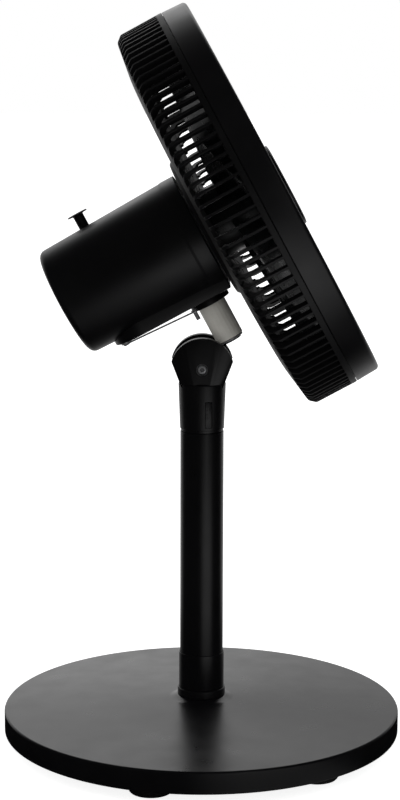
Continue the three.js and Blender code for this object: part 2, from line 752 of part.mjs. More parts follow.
function makePivotNut() {
  const seat = EAR_HALF_WIDTH - PIVOT_SINK_DEPTH;
  const [y0, y1] = [seat + GAP, seat + GAP + PIVOT_HEAD_THICKNESS];
  const nut = rodY(PIVOT_SINK_RADIUS - GAP, y0, y1, 0, PIVOT_Z, 6);
  return nut.subtract(rodY(PIVOT_BOLT_RADIUS + GAP, y0 - CUT, y1 + CUT, 0, PIVOT_Z));
}

function makeNeck(group) {
  piece(group, 'neck_fork', makeNeckFork(), blackShell);
  piece(group, 'neck_latch', makeLatch(), blackShell);
  piece(group, 'latch_spring', makeLatchSpring(), steel);
  piece(group, 'pivot_axle', makePivotAxle(), steel);
  piece(group, 'pivot_washer_near', makePivotWasher(-1), nylon);
  piece(group, 'pivot_washer_far', makePivotWasher(1), nylon);
  piece(group, 'pivot_bolt', makePivotBolt(), steel);
  piece(group, 'pivot_nut', makePivotNut(), steel);
}

// ---------------------------------------------------------------- tilt bracket and swivel

function bracketPlan(front) {
  const [rear, side, corner] = [-TONGUE_RADIUS, BRACKET_HALF_WIDTH, BRACKET_CORNER];
  const shape = new THREE.Shape();
  shape.moveTo(front, -side);
  shape.lineTo(front, side);
  shape.lineTo(rear + corner, side);
  shape.absarc(rear + corner, side - corner, corner, Math.PI / 2, Math.PI, false);
  shape.lineTo(rear, corner - side);
  shape.absarc(rear + corner, corner - side, corner, Math.PI, 1.5 * Math.PI, false);
  shape.closePath();
  return shape;
}

function tongueOutline() {
  const shape = new THREE.Shape();
  shape.moveTo(TONGUE_RADIUS, BRACKET_RELIEF);
  shape.lineTo(-TONGUE_RADIUS, BRACKET_RELIEF);
  shape.lineTo(-TONGUE_RADIUS, 0);
  shape.absarc(0, 0, TONGUE_RADIUS, Math.PI, 2 * Math.PI, false);
  shape.closePath();
  return shape;
}

function makeTiltBracket() {
  const side = TONGUE_HALF_WIDTH;
  const outer = FLANGE_RADIUS + CUT;
  const flangeBottom = BRACKET_TOP - FLANGE_THICKNESS;
  const socketEdge = SWIVEL_X - SOCKET_RADIUS / 2;
  const pinHole = LINK_PIN_RADIUS + GAP;
  const pinBottom = BRACKET_TOP - LINK_PIN_DEPTH;
  const block = prismZ(bracketPlan(socketEdge), 0, flangeBottom);
  const flange = prismZ(bracketPlan(SWIVEL_X), flangeBottom, BRACKET_TOP);
  const socket = rodZ(SOCKET_RADIUS, SOCKET_BOTTOM, flangeBottom, SWIVEL_X, 0, FACETS_MID);
  const disc = rodZ(FLANGE_RADIUS, flangeBottom, BRACKET_TOP, SWIVEL_X, 0, FACETS_MID);
  const body = wasm.Manifold.union([block, flange, socket, disc]);
  const cuts = [
    rodY(BRACKET_RELIEF, -outer, -side, 0, 0, FACETS_MID),
    rodY(BRACKET_RELIEF, side, outer, 0, 0, FACETS_MID),
    rodY(PIVOT_AXLE_RADIUS + GAP, -outer, outer, 0, 0),
    rodZ(SOCKET_BORE, BORE_BOTTOM, BRACKET_TOP + CUT, SWIVEL_X, 0, FACETS_MID),
    rodZ(pinHole, pinBottom, BRACKET_TOP + CUT, ANCHOR_X, ANCHOR_Y, FACETS_TINY),
  ];
  const tongue = prismY(tongueOutline(), -side, side);
  return body.add(tongue).subtract(wasm.Manifold.union(cuts));
}

function makeSwivelPost() {
  const bottom = BORE_BOTTOM + GAP;
  const grooveBottom = bottom + POST_TAIL;
  const grooveTop = grooveBottom + CLIP_THICKNESS + 2 * GAP;
  const bossBottom = BRACKET_TOP + GAP;
  const bossTop = PAD_BOTTOM - GAP;
  const top = PAD_BOTTOM + PAD_WALL + GAP + POST_NUT;
  const profile = [
    [POST_BORE, bottom],
    [POST_RADIUS, bottom],
    [POST_RADIUS, grooveBottom],
    [CLIP_GROOVE_RADIUS, grooveBottom],
    [CLIP_GROOVE_RADIUS, grooveTop],
    [POST_RADIUS, grooveTop],
    [POST_RADIUS, bossBottom],
    [BOSS_RADIUS, bossBottom],
    [BOSS_RADIUS, bossTop],
    [POST_RADIUS, bossTop],
    [POST_RADIUS, top],
    [POST_BORE, top],
    [POST_BORE, bottom],
  ];
  return turnedZ(profile);
}

function makeSwivelParts(tiltGroup, headGroup) {
  const bushBottom = BORE_BOTTOM + GAP + POST_TAIL + CLIP_THICKNESS + 3 * GAP;
  const bush = tube(SOCKET_BORE - GAP, POST_RADIUS + GAP, bushBottom, BRACKET_TOP - GAP);
  const clipBottom = BORE_BOTTOM + GAP + POST_TAIL + GAP;
  const clipInner = CLIP_GROOVE_RADIUS + GAP;
  const clip = tube(clipInner + CLIP_WIDTH, clipInner, clipBottom, clipBottom + CLIP_THICKNESS);
  const nutBottom = PAD_BOTTOM + PAD_WALL + GAP;
  const nut = tube(POST_NUT_RADIUS, POST_RADIUS + GAP, nutBottom, nutBottom + POST_NUT);
  piece(tiltGroup, 'swivel_bush', turnedZ(bush), nylon).position.x = SWIVEL_X;
  piece(headGroup, 'swivel_post', makeSwivelPost(), blackShell).position.x = SWIVEL_X;
  piece(headGroup, 'swivel_clip', turnedZ(clip), steel).position.x = SWIVEL_X;
  piece(headGroup, 'post_nut', turnedZ(nut), brass).position.x = SWIVEL_X;
}

// ---------------------------------------------------------------- oscillation drive

function strip(x0, y0, x1, y1, half) {
  const angle = Math.atan2(y1 - y0, x1 - x0);
  const shape = new THREE.Shape();
  shape.absarc(x1, y1, half, angle - Math.PI / 2, angle + Math.PI / 2, false);
  shape.absarc(x0, y0, half, angle + Math.PI / 2, angle + 1.5 * Math.PI, false);
  shape.closePath();
  return shape;
}

function makeCrank() {
  const arm = prismZ(strip(CRANK_X, CRANK_Y, PIN_X, PIN_Y, CRANK_ARM_HALF_WIDTH), ARM_BOTTOM, ARM_TOP);
  const shaft = rodZ(CRANK_SHAFT_RADIUS, ARM_BOTTOM, CRANK_SHAFT_TOP, CRANK_X, CRANK_Y);
  const headTop = LINK_BOTTOM - GAP;
  const pin = rodZ(LINK_PIN_RADIUS, headTop - LINK_PIN_HEAD_THICKNESS, ARM_TOP, PIN_X, PIN_Y, FACETS_TINY);
  const head = rodZ(LINK_PIN_HEAD, headTop - LINK_PIN_HEAD_THICKNESS, headTop, PIN_X, PIN_Y, FACETS_TINY);
  return wasm.Manifold.union([arm, shaft, pin, head]);
}

function makeLink() {
  const bar = prismZ(strip(ANCHOR_X, ANCHOR_Y, PIN_X, PIN_Y, LINK_HALF_WIDTH), LINK_BOTTOM, LINK_TOP);
  const eye = LINK_PIN_RADIUS + GAP;
  const nearHole = rodZ(eye, LINK_BOTTOM - CUT, LINK_TOP + CUT, ANCHOR_X, ANCHOR_Y, FACETS_TINY);
  const farHole = rodZ(eye, LINK_BOTTOM - CUT, LINK_TOP + CUT, PIN_X, PIN_Y, FACETS_TINY);
  return bar.subtract(nearHole).subtract(farHole);
}

function makeLinkPin() {
  const headBottom = LINK_TOP + GAP;
  const headTop = headBottom + LINK_PIN_HEAD_THICKNESS;
  const bottom = BRACKET_TOP - LINK_PIN_DEPTH + GAP;
  const shank = rodZ(LINK_PIN_RADIUS, bottom, headTop, ANCHOR_X, ANCHOR_Y, FACETS_TINY);
  const head = rodZ(LINK_PIN_HEAD, headBottom, headTop, ANCHOR_X, ANCHOR_Y, FACETS_TINY);
  return shank.add(head);
}

function makeWormWheel() {
  const root = WHEEL_RADIUS - WHEEL_TOOTH;
  const tooth = [[0, root], [0.3, WHEEL_RADIUS], [0.6, WHEEL_RADIUS], [0.9, root]];
  const top = WHEEL_BOTTOM + WHEEL_HEIGHT;
  const points = [];
  for (let i = 0; i < WHEEL_TEETH; i += 1) {
    for (const [share, radius] of tooth) {
      const angle = (2 * Math.PI * (i + share)) / WHEEL_TEETH;
      points.push([CRANK_X + radius * Math.cos(angle), CRANK_Y + radius * Math.sin(angle)]);
    }
  }
  const blank = prismZ(polygon(points), WHEEL_BOTTOM, top);
  return blank.subtract(rodZ(CRANK_SHAFT_RADIUS + GAP, WHEEL_BOTTOM - CUT, top + CUT, CRANK_X, CRANK_Y));
}

function makeGearbox(group) {
  const [x0, x1] = CASE_X;
  const [y0, y1] = CASE_Y;
  const [z0, z1] = CASE_Z;
  const shell = box(x0, x1, y0, y1, z0, z1);
  const room = box(x0 + CASE_WALL, x1 - CASE_WALL, y0 + CASE_WALL, y1 - CASE_WALL, z0 + CASE_WALL, z1 + CUT);
  const shaftHole = rodX(SHAFT_RADIUS + GAP, x1 - CASE_WALL - WELD, x1 + CUT, 0, FAN_Z);
  const crankHole = rodZ(CRANK_SHAFT_RADIUS + GAP, z0 - CUT, z0 + CASE_WALL + WELD, CRANK_X, CRANK_Y);
  piece(group, 'gearbox_case', shell.subtract(wasm.Manifold.union([room, shaftHole, crankHole])), nylon);
  const lid = box(x0, x1, y0, y1, z1 + GAP, z1 + GAP + LID_THICKNESS);
  const stemHole = rodZ(KNOB_STEM_RADIUS + GAP, z1 - CUT, z1 + 2 * CUT, CRANK_X, CRANK_Y);
  piece(group, 'gearbox_lid', lid.subtract(stemHole), nylon);
  const capacitor = box(x0, x1, y0 - GAP - CAPACITOR_WIDTH, y0 - GAP, z0, z0 + CAPACITOR_HEIGHT);
  piece(group, 'capacitor', capacitor, greyPlastic);
}

function makeKnob() {
  const discBottom = KNOB_TOP - KNOB_DISC;
  return turnedZ([
    [0, KNOB_STEM_BOTTOM],
    [KNOB_STEM_RADIUS, KNOB_STEM_BOTTOM],
    [KNOB_STEM_RADIUS, discBottom - KNOB_FLARE],
    [(KNOB_STEM_RADIUS + KNOB_RADIUS) / 2, discBottom - KNOB_FLARE * 0.3],
    [KNOB_RADIUS, discBottom],
    [KNOB_RADIUS, KNOB_TOP - KNOB_EDGE],
    [KNOB_RADIUS - KNOB_EDGE, KNOB_TOP],
    [0, KNOB_TOP],
  ], FACETS_SMALL);
}

function makeDrive(tiltGroup, headGroup) {
  piece(tiltGroup, 'link_pin', makeLinkPin(), steel);
  piece(tiltGroup, 'swivel_link', makeLink(), steel);
  piece(headGroup, 'crank', makeCrank(), steel);
  piece(headGroup, 'worm_wheel', makeWormWheel(), nylon);
  const knob = piece(headGroup, 'swivel_knob', makeKnob(), blackShell);
  knob.position.set(CRANK_X, CRANK_Y, 0);
  makeGearbox(headGroup);
}

// ---------------------------------------------------------------- motor cover

function coverShell() {
  const e = COVER_EDGE;
  const w = SHELL_WALL;
  const round = COVER_LIP_ROUND;
  const [rear, r0, r1, lip] = [COVER_REAR, COVER_REAR_RADIUS, COVER_STEP_RADIUS, COVER_LIP_RADIUS];
  const solid = turnedX([
    [0, rear],
    [r0 - e, rear],
    [r0 - e * 0.5, rear + e * 0.13],
    [r0 - e * 0.13, rear + e * 0.5],
    [r0, rear + e],
    [r1, COVER_STEP],
    [lip - round / 2, COVER_STEP + round / 2],
    [lip, COVER_STEP + round],
    [lip, COVER_FRONT - round],
    [lip - round, COVER_FRONT],
    [0, COVER_FRONT],
  ], FACETS_MID);
  const room = turnedX([
    [0, rear + w],
    [r0 - e, rear + w],
    [r0 - w - e * 0.3, rear + w + e * 0.15],
    [r0 - w, rear + e],
    [r1 - w, COVER_STEP],
    [r1 - w, COVER_FRONT + CUT],
    [0, COVER_FRONT + CUT],
  ], FACETS_MID);
  return [solid, room];
}

function padPlan(inset) {
  const half = PAD_HALF_WIDTH - inset;
  const front = COVER_FRONT - inset;
  const shape = new THREE.Shape();
  shape.moveTo(front, -half);
  shape.lineTo(front, half);
  shape.lineTo(PAD_REAR_CENTRE, half);
  shape.absarc(PAD_REAR_CENTRE, 0, half, Math.PI / 2, 1.5 * Math.PI, false);
  shape.closePath();
  return shape;
}

function coverBosses() {
  const z0 = FAN_Z + COVER_BOSS_INNER;
  const z1 = FAN_Z + COVER_STEP_RADIUS - WELD;
  const front = MOUNT_REAR - GAP;
  const half = COVER_BOSS_HALF_WIDTH;
  const block = box(front - COVER_BOSS_LENGTH, front, -half, half, z0, z1);
  const bore = COVER_SCREW_RADIUS + GAP;
  const holeRear = MOUNT_REAR - COVER_SCREW_LENGTH;
  const hole = rodX(bore, holeRear, MOUNT_REAR + CUT, 0, FAN_Z + COVER_SCREW_CIRCLE, FACETS_TINY);
  return screwAngles().map((angle) => aboutFanAxis(block.subtract(hole), angle));
}

function screwAngles() {
  return [-Math.PI / 3, Math.PI / 3];
}

function makeMotorCover() {
  const [solid, room] = coverShell();
  const padTop = PAD_BOTTOM + PAD_HEIGHT;
  const pad = prismZ(padPlan(0), PAD_BOTTOM, padTop);
  const padRoom = prismZ(padPlan(PAD_WALL), PAD_BOTTOM + PAD_WALL, padTop + CUT);
  const floorCut = box(COVER_REAR - CUT, COVER_FRONT + CUT, -BASE_RADIUS, BASE_RADIUS, 0, PAD_BOTTOM);
  const well = DIAL_RADIUS + GAP;
  const wellBack = WELL_FLOOR + SHELL_WALL;
  const wellOuter = rodX(well + SHELL_WALL, COVER_REAR + WELD, wellBack, 0, FAN_Z, FACETS_MID);
  const [holeBottom, holeTop] = [PAD_BOTTOM - CUT, PAD_BOTTOM + PAD_WALL + WELD];
  const stemHole = KNOB_STEM_RADIUS + GAP;
  const [stemBottom, stemTop] = [FAN_Z + COVER_REAR_RADIUS / 2, FAN_Z + COVER_LIP_RADIUS + CUT];
  const cuts = [
    rodX(well, COVER_REAR - CUT, WELL_FLOOR, 0, FAN_Z, FACETS_MID),
    rodX(DIAL_STEM_RADIUS + GAP, WELL_FLOOR - WELD, wellBack + SHELL_WALL, 0, FAN_Z),
    rodZ(POST_RADIUS + GAP, holeBottom, holeTop, SWIVEL_X, 0, FACETS_MID),
    rodZ(CRANK_SHAFT_RADIUS + GAP, holeBottom, holeTop, CRANK_X, CRANK_Y),
    rodZ(stemHole, stemBottom, stemTop, CRANK_X, CRANK_Y),
    floorCut,
  ];
  const hollow = room.subtract(wellOuter).add(padRoom.intersect(solid.add(pad)));
  const shell = solid.add(pad).subtract(hollow);
  return wasm.Manifold.union([shell, ...coverBosses()]).subtract(wasm.Manifold.union(cuts));
}

function makeMountPlate() {
  const rim = COVER_STEP_RADIUS - SHELL_WALL - GAP;
  const front = COVER_FRONT - GAP;
  const seat = GUARD_HUB_REAR - GAP;
  const ringInner = MOUNT_RING_RADIUS - MOUNT_RING_WALL;
  const plate = turnedX(tube(rim, BELL_BOSS_RADIUS + GAP, MOUNT_REAR, front));
  const ring = turnedX(tube(MOUNT_RING_RADIUS, ringInner, front - WELD, seat));
  const postRear = FRONT_BELL_FRONT + GAP;
  const post = rodX(STANDOFF_RADIUS, postRear, MOUNT_REAR + WELD, 0, FAN_Z + STANDOFF_CIRCLE);
  const posts = roundAxis(post, STANDOFF_COUNT, Math.PI);
  const sinkStart = front - COVER_SCREW_HEAD_THICKNESS - GAP;
  const z = FAN_Z + COVER_SCREW_CIRCLE;
  const sink = rodX(COVER_SCREW_HEAD + GAP, sinkStart, front + CUT, 0, z, FACETS_TINY);
  const hole = rodX(COVER_SCREW_RADIUS + GAP, MOUNT_REAR - CUT, front + CUT, 0, z, FACETS_TINY);
  const drill = sink.add(hole);
  const drills = screwAngles().map((angle) => aboutFanAxis(drill, angle));
  return wasm.Manifold.union([plate, ring, posts]).subtract(wasm.Manifold.union(drills));
}

function makeCoverScrew() {
  const headFront = COVER_FRONT - GAP;
  const headRear = headFront - COVER_SCREW_HEAD_THICKNESS;
  const z = FAN_Z + COVER_SCREW_CIRCLE;
  const shankRear = MOUNT_REAR - COVER_SCREW_LENGTH + GAP;
  const head = rodX(COVER_SCREW_HEAD, headRear, headFront, 0, z, FACETS_TINY);
  const shank = rodX(COVER_SCREW_RADIUS, shankRear, headRear + WELD, 0, z, FACETS_TINY);
  return head.add(shank);
}

function makeDial() {
  const rear = WELL_FLOOR - GAP - DIAL_THICKNESS;
  const floor = rear + DIAL_GRIP_DEPTH;
  const disc = rodX(DIAL_RADIUS, rear, WELL_FLOOR - GAP, 0, FAN_Z, FACETS_MID);
  const scoop = rodX(DIAL_RADIUS - DIAL_RIM, rear - CUT, floor, 0, FAN_Z, FACETS_MID);
  const half = DIAL_GRIP_HALF_WIDTH;
  const grip = box(rear - 2 * CUT, floor + WELD, -half, half, FAN_Z - DIAL_RADIUS, FAN_Z + DIAL_RADIUS);
  const stem = rodX(DIAL_STEM_RADIUS, WELL_FLOOR - WELD, WELL_FLOOR + 2 * SHELL_WALL, 0, FAN_Z);
  return disc.subtract(scoop.subtract(grip)).add(stem);
}

function makeSwitch() {
  const front = WELL_FLOOR + SHELL_WALL + GAP;
  const half = SWITCH_SIZE / 2;
  const block = box(front, front + SWITCH_DEPTH, -half, half, FAN_Z - half, FAN_Z + half);
  const stemEnd = WELL_FLOOR + 2 * SHELL_WALL + GAP;
  return block.subtract(rodX(DIAL_STEM_RADIUS + GAP, front - CUT, stemEnd, 0, FAN_Z));
}

function makeCover(group) {
  piece(group, 'motor_cover', makeMotorCover(), blackShell);
  piece(group, 'mount_plate', makeMountPlate(), greyPlastic);
  screwAngles().forEach((angle, i) => {
    piece(group, `cover_screw_${i + 1}`, aboutFanAxis(makeCoverScrew(), angle), steel);
  });
  piece(group, 'speed_dial', makeDial(), blackShell);
  piece(group, 'speed_switch', makeSwitch(), greyPlastic);
}

// ---------------------------------------------------------------- motor

function makeRearBell() {
  const seat = SHAFT_RADIUS + GAP + BUSHING_WALL + GAP;
  const rear = REAR_BELL_FRONT - REAR_BELL_LENGTH;
  const disc = REAR_BELL_FRONT - BELL_DISC;
  return turnedX([
    [seat, REAR_BELL_FRONT],
    [BELL_RADIUS, REAR_BELL_FRONT],
    [BELL_RADIUS, disc],
    [REAR_BELL_HUB, disc],
    [REAR_BELL_HUB, rear],
    [SHAFT_RADIUS + GAP, rear],
    [SHAFT_RADIUS + GAP, rear + BUSHING_LIP],
    [seat, rear + BUSHING_LIP],
    [seat, REAR_BELL_FRONT],
  ], FACETS_INNER);
}

function makeFrontBell() {
  const seat = SHAFT_RADIUS + GAP + BUSHING_WALL + GAP;
  const seatEnd = FRONT_BELL_REAR + BUSHING_LENGTH + GAP;
  return turnedX([
    [seat, FRONT_BELL_REAR],
    [BELL_RADIUS, FRONT_BELL_REAR],
    [BELL_RADIUS, FRONT_BELL_FRONT],
    [BELL_BOSS_RADIUS, FRONT_BELL_FRONT],
    [BELL_BOSS_RADIUS, BELL_BOSS_FRONT],
    [SHAFT_RADIUS + GAP, BELL_BOSS_FRONT],
    [SHAFT_RADIUS + GAP, seatEnd],
    [seat, seatEnd],
    [seat, FRONT_BELL_REAR],
  ], FACETS_INNER);
}

function makeMotor(group) {
  const bushInner = SHAFT_RADIUS + GAP;
  const bushOuter = bushInner + BUSHING_WALL;
  const bushRear = REAR_BELL_FRONT - REAR_BELL_LENGTH + BUSHING_LIP + GAP;
  const rearBush = tube(bushOuter, bushInner, bushRear, bushRear + BUSHING_LENGTH);
  const frontBush = tube(bushOuter, bushInner, FRONT_BELL_REAR, FRONT_BELL_REAR + BUSHING_LENGTH);
  const stator = tube(STATOR_RADIUS, STATOR_BORE, STATOR_REAR, STATOR_REAR + STATOR_LENGTH);
  const windingFront = STATOR_REAR + STATOR_LENGTH + GAP;
  const windingRear = STATOR_REAR - GAP - WINDING_DEPTH;
  const rearWinding = tube(WINDING_OUTER, WINDING_INNER, windingRear, windingRear + WINDING_DEPTH);
  const frontWinding = tube(WINDING_OUTER, WINDING_INNER, windingFront, windingFront + WINDING_DEPTH);
  piece(group, 'rear_bell', makeRearBell(), aluminium);
  piece(group, 'front_bell', makeFrontBell(), aluminium);
  piece(group, 'rear_bushing', turnedX(rearBush, FACETS_SMALL), brass);
  piece(group, 'front_bushing', turnedX(frontBush, FACETS_SMALL), brass);
  piece(group, 'stator_core', turnedX(stator, FACETS_INNER).add(makeStatorLugs()), laminations);
  piece(group, 'rear_winding', turnedX(rearWinding, FACETS_INNER), copper);
  piece(group, 'front_winding', turnedX(frontWinding, FACETS_INNER), copper);
}

// Four lugs hold the stator between the two end bells.
function makeStatorLugs() {
  const start = REAR_BELL_FRONT + GAP;
  const end = FRONT_BELL_REAR - GAP;
  const lug = rodX(STATOR_LUG_RADIUS - STATOR_RADIUS, start, end, 0, FAN_Z + STATOR_RADIUS, FACETS_TINY);
  return roundAxis(lug, 4, Math.PI / 4);
}

function makeWorm() {
  const bore = SHAFT_RADIUS + GAP;
  const [start, end] = WORM_X;
  const profile = [[bore, start]];
  for (let x = start; x < end - WORM_PITCH / 2; x += WORM_PITCH) {
    profile.push([WORM_ROOT, x]);
    profile.push([WORM_RADIUS, x + WORM_PITCH * 0.3]);
    profile.push([WORM_RADIUS, x + WORM_PITCH * 0.6]);
    profile.push([WORM_ROOT, x + WORM_PITCH * 0.9]);
  }
  profile.push([WORM_ROOT, end]);
  profile.push([bore, end]);
  profile.push([bore, start]);
  return turnedX(profile, FACETS_TINY);
}

function makeShaftLine(group) {
  const shaftFront = HUB_FRONT + SHAFT_PAST_HUB;
  const rotorRear = STATOR_REAR + (STATOR_LENGTH - ROTOR_LENGTH) / 2;
  const rotor = tube(STATOR_BORE - 2 * GAP, SHAFT_RADIUS + GAP, rotorRear, rotorRear + ROTOR_LENGTH);
  piece(group, 'motor_shaft', rodX(SHAFT_RADIUS, SHAFT_REAR, shaftFront, 0, FAN_Z), steel);
  piece(group, 'rotor', turnedX(rotor, FACETS_INNER), laminations);
  piece(group, 'worm', makeWorm(), brass);
  piece(group, 'impeller', makeImpeller(), bladePlastic);
  piece(group, 'impeller_nut', makeImpellerNut(), blackShell);
}

// ---------------------------------------------------------------- impeller

function bladePoint(radialShare, chordShare, side) {
  const radius = THREE.MathUtils.lerp(HUB_RADIUS - BLADE_ROOT_SINK, BLADE_TIP, radialShare);
  const rear = THREE.MathUtils.lerp(BLADE_ROOT_REAR, BLADE_TIP_REAR, radialShare);
  const front = THREE.MathUtils.lerp(BLADE_ROOT_FRONT, BLADE_TIP_FRONT, radialShare);
  const span = THREE.MathUtils.lerp(BLADE_ROOT_SPAN, BLADE_TIP_SPAN, radialShare);
  const camber = 4 * BLADE_CAMBER * (front - rear) * chordShare * (1 - chordShare);
  const angle = BLADE_SWEEP * radialShare ** 2 + (chordShare - 0.5) * span;
  const middle = Math.sin(Math.PI * (0.1 + 0.8 * chordShare));
  const fullness = BLADE_EDGE_SHARE + (1 - BLADE_EDGE_SHARE) * middle;
  const thickness = BLADE_THICKNESS * (1 - 0.5 * radialShare) * fullness;
  const along = rear + chordShare * (front - rear) - camber + (side * thickness) / 2;
  return [along, radius * Math.cos(angle), FAN_Z + radius * Math.sin(angle)];
}

function bladeSolid() {
  const vertices = [];
  const faces = [];
  const row = BLADE_CHORD_STEPS + 1;
  const sheet = row * (BLADE_STATIONS + 1);
  for (const side of [-1, 1]) {
    for (let i = 0; i <= BLADE_STATIONS; i += 1) {
      for (let j = 0; j <= BLADE_CHORD_STEPS; j += 1) {
        vertices.push(...bladePoint(i / BLADE_STATIONS, j / BLADE_CHORD_STEPS, side));
      }
    }
  }
  const quad = (a, b, c, d) => faces.push(a, b, c, a, c, d);
  for (let i = 0; i < BLADE_STATIONS; i += 1) {
    for (let j = 0; j < BLADE_CHORD_STEPS; j += 1) {
      const a = i * row + j;
      quad(a, a + 1, a + row + 1, a + row);
      quad(sheet + a, sheet + a + row, sheet + a + row + 1, sheet + a + 1);
    }
    const start = i * row;
    const end = start + BLADE_CHORD_STEPS;
    quad(start, start + row, sheet + start + row, sheet + start);
    quad(end + row, end, sheet + end, sheet + end + row);
  }
  for (let j = 0; j < BLADE_CHORD_STEPS; j += 1) {
    const tip = BLADE_STATIONS * row + j;
    quad(j + 1, j, sheet + j, sheet + j + 1);
    quad(tip, tip + 1, sheet + tip + 1, sheet + tip);
  }
  const geometry = new THREE.BufferGeometry();
  geometry.setAttribute('position', new THREE.Float32BufferAttribute(vertices, 3));
  geometry.setIndex(faces);
  return solidOf(geometry);
}

function makeImpeller() {
  const bore = SHAFT_RADIUS + GAP;
  const hub = turnedX([
    [bore, HUB_REAR],
    [HUB_RADIUS, HUB_REAR],
    [HUB_RADIUS, HUB_FRONT - HUB_EDGE],
    [HUB_RADIUS - HUB_EDGE * 0.3, HUB_FRONT - HUB_EDGE * 0.3],
    [HUB_RADIUS - HUB_EDGE, HUB_FRONT],
    [bore, HUB_FRONT],
    [bore, HUB_REAR],
  ]);
  return hub.add(roundAxis(bladeSolid(), BLADE_COUNT));
}

function makeImpellerNut() {
  const rear = HUB_FRONT + GAP;
  const front = rear + IMPELLER_NUT;
  const nut = turnedX([
    [0, rear],
    [IMPELLER_NUT_RADIUS, rear],
    [IMPELLER_NUT_RADIUS, front - IMPELLER_NUT_EDGE],
    [IMPELLER_NUT_RADIUS - IMPELLER_NUT_EDGE, front],
    [0, front],
  ], FACETS_SMALL);
  return nut.subtract(rodX(SHAFT_RADIUS + GAP, rear - CUT, HUB_FRONT + SHAFT_PAST_HUB + GAP, 0, FAN_Z));
}

// ---------------------------------------------------------------- guards

function guardProfile() {
  const w = GUARD_WALL;
  const bore = BELL_BOSS_RADIUS + GAP;
  const hubFront = GUARD_HUB_REAR + GUARD_HUB_THICKNESS;
  return [
    [bore, GUARD_HUB_REAR],
    [GUARD_HUB_RADIUS, GUARD_HUB_REAR],
    [GUARD_HUB_RADIUS + GUARD_CONE_STEP, GUARD_CONE_X],
    [GUARD_FLAT_RADIUS, GUARD_FLAT_X],
    [GUARD_CORNER_RADIUS, GUARD_CORNER_X],
    [GUARD_RADIUS, GUARD_SIDE_X],
    [GUARD_RADIUS, GUARD_FRONT],
    [GUARD_RADIUS - w, GUARD_FRONT],
    [GUARD_RADIUS - w, GUARD_SIDE_X + w * 0.3],
    [GUARD_FLAT_RADIUS, GUARD_FLAT_X + w],
    [GUARD_HUB_RADIUS, hubFront],
    [bore, hubFront],
    [bore, GUARD_HUB_REAR],
  ];
}

function makeRearGuard() {
  const shell = turnedX(guardProfile(), FACETS_GUARD);
  const slotHalf = (Math.PI * GUARD_RADIUS) / RIB_COUNT - RIB_WIDTH / 2;
  const [slotInner, slotOuter] = [FAN_Z + SIDE_SLOT_INNER, FAN_Z + GUARD_RADIUS + CUT];
  const slot = box(GUARD_HUB_REAR - CUT, GUARD_SLOT_END, -slotHalf, slotHalf, slotInner, slotOuter);
  const innerHalf = (Math.PI * SPOKE_INNER) / SPOKE_COUNT - SPOKE_WIDTH / 2;
  const outerHalf = (Math.PI * SPOKE_OUTER) / SPOKE_COUNT - SPOKE_WIDTH / 2;
  const window = polygon([
    [-innerHalf, SPOKE_INNER],
    [innerHalf, SPOKE_INNER],
    [outerHalf, SPOKE_OUTER],
    [-outerHalf, SPOKE_OUTER],
  ]);
  const opening = prismX(window, GUARD_HUB_REAR - CUT, GUARD_FLAT_X + 2 * CUT);
  const slots = roundAxis(slot, RIB_COUNT, Math.PI / RIB_COUNT);
  const openings = roundAxis(opening, SPOKE_COUNT, Math.PI / SPOKE_COUNT);
  return shell.subtract(slots).subtract(openings);
}

function makeFrontRing() {
  const w = RING_WALL;
  const rear = GUARD_FRONT + GAP;
  const lipOuter = GUARD_RADIUS - GUARD_WALL - GAP;
  const lipInner = lipOuter - RING_LIP_WALL;
  return turnedX([
    [lipInner, rear - RING_LIP_LENGTH],
    [lipOuter, rear - RING_LIP_LENGTH],
    [lipOuter, rear],
    [RING_REAR_RADIUS, rear],
    [RING_CORNER_RADIUS, RING_CORNER_X],
    [RING_FILLET_RADIUS, RING_FRONT],
    [RING_OPENING, RING_FRONT],
    [RING_OPENING, RING_FRONT - w],
    [GRILLE_RIM_RADIUS + GAP, RING_FRONT - w],
    [GRILLE_RIM_RADIUS + GAP, RING_FRONT - 3 * w],
    [lipInner, rear + w],
    [lipInner, rear - RING_LIP_LENGTH],
  ], FACETS_GUARD);
}

function finSlot(inner, outer) {
  const steps = FIN_STEPS;
  const edge = (radius, side) => {
    const share = (radius - GRILLE_HUB_RADIUS) / (RING_OPENING - GRILLE_HUB_RADIUS);
    const half = Math.PI / FIN_COUNT - FIN_WIDTH / 2 / radius;
    const angle = FIN_SWEEP * share + side * half;
    return [radius * Math.sin(angle), radius * Math.cos(angle)];
  };
  const points = [];
  for (let i = 0; i <= steps; i += 1) points.push(edge(inner + ((outer - inner) * i) / steps, -1));
  for (let i = steps; i >= 0; i -= 1) points.push(edge(inner + ((outer - inner) * i) / steps, 1));
  return prismX(polygon(points), GRILLE_REAR - CUT, GRILLE_FRONT + CUT);
}

function makeGrille() {
  const opening = RING_OPENING - GAP;
  const bore = CAP_SPIGOT_RADIUS + GAP;
  const rimFront = RING_FRONT - RING_WALL - GAP;
  const plate = turnedX([
    [bore, GRILLE_REAR],
    [GRILLE_RIM_RADIUS, GRILLE_REAR],
    [GRILLE_RIM_RADIUS, rimFront],
    [opening, rimFront],
    [opening, GRILLE_FRONT],
    [bore, GRILLE_FRONT],
    [bore, GRILLE_REAR],
  ], FACETS_GUARD);
  const slots = roundAxis(finSlot(GRILLE_HUB_RADIUS, opening - GRILLE_BORDER), FIN_COUNT);
  return plate.subtract(slots);
}

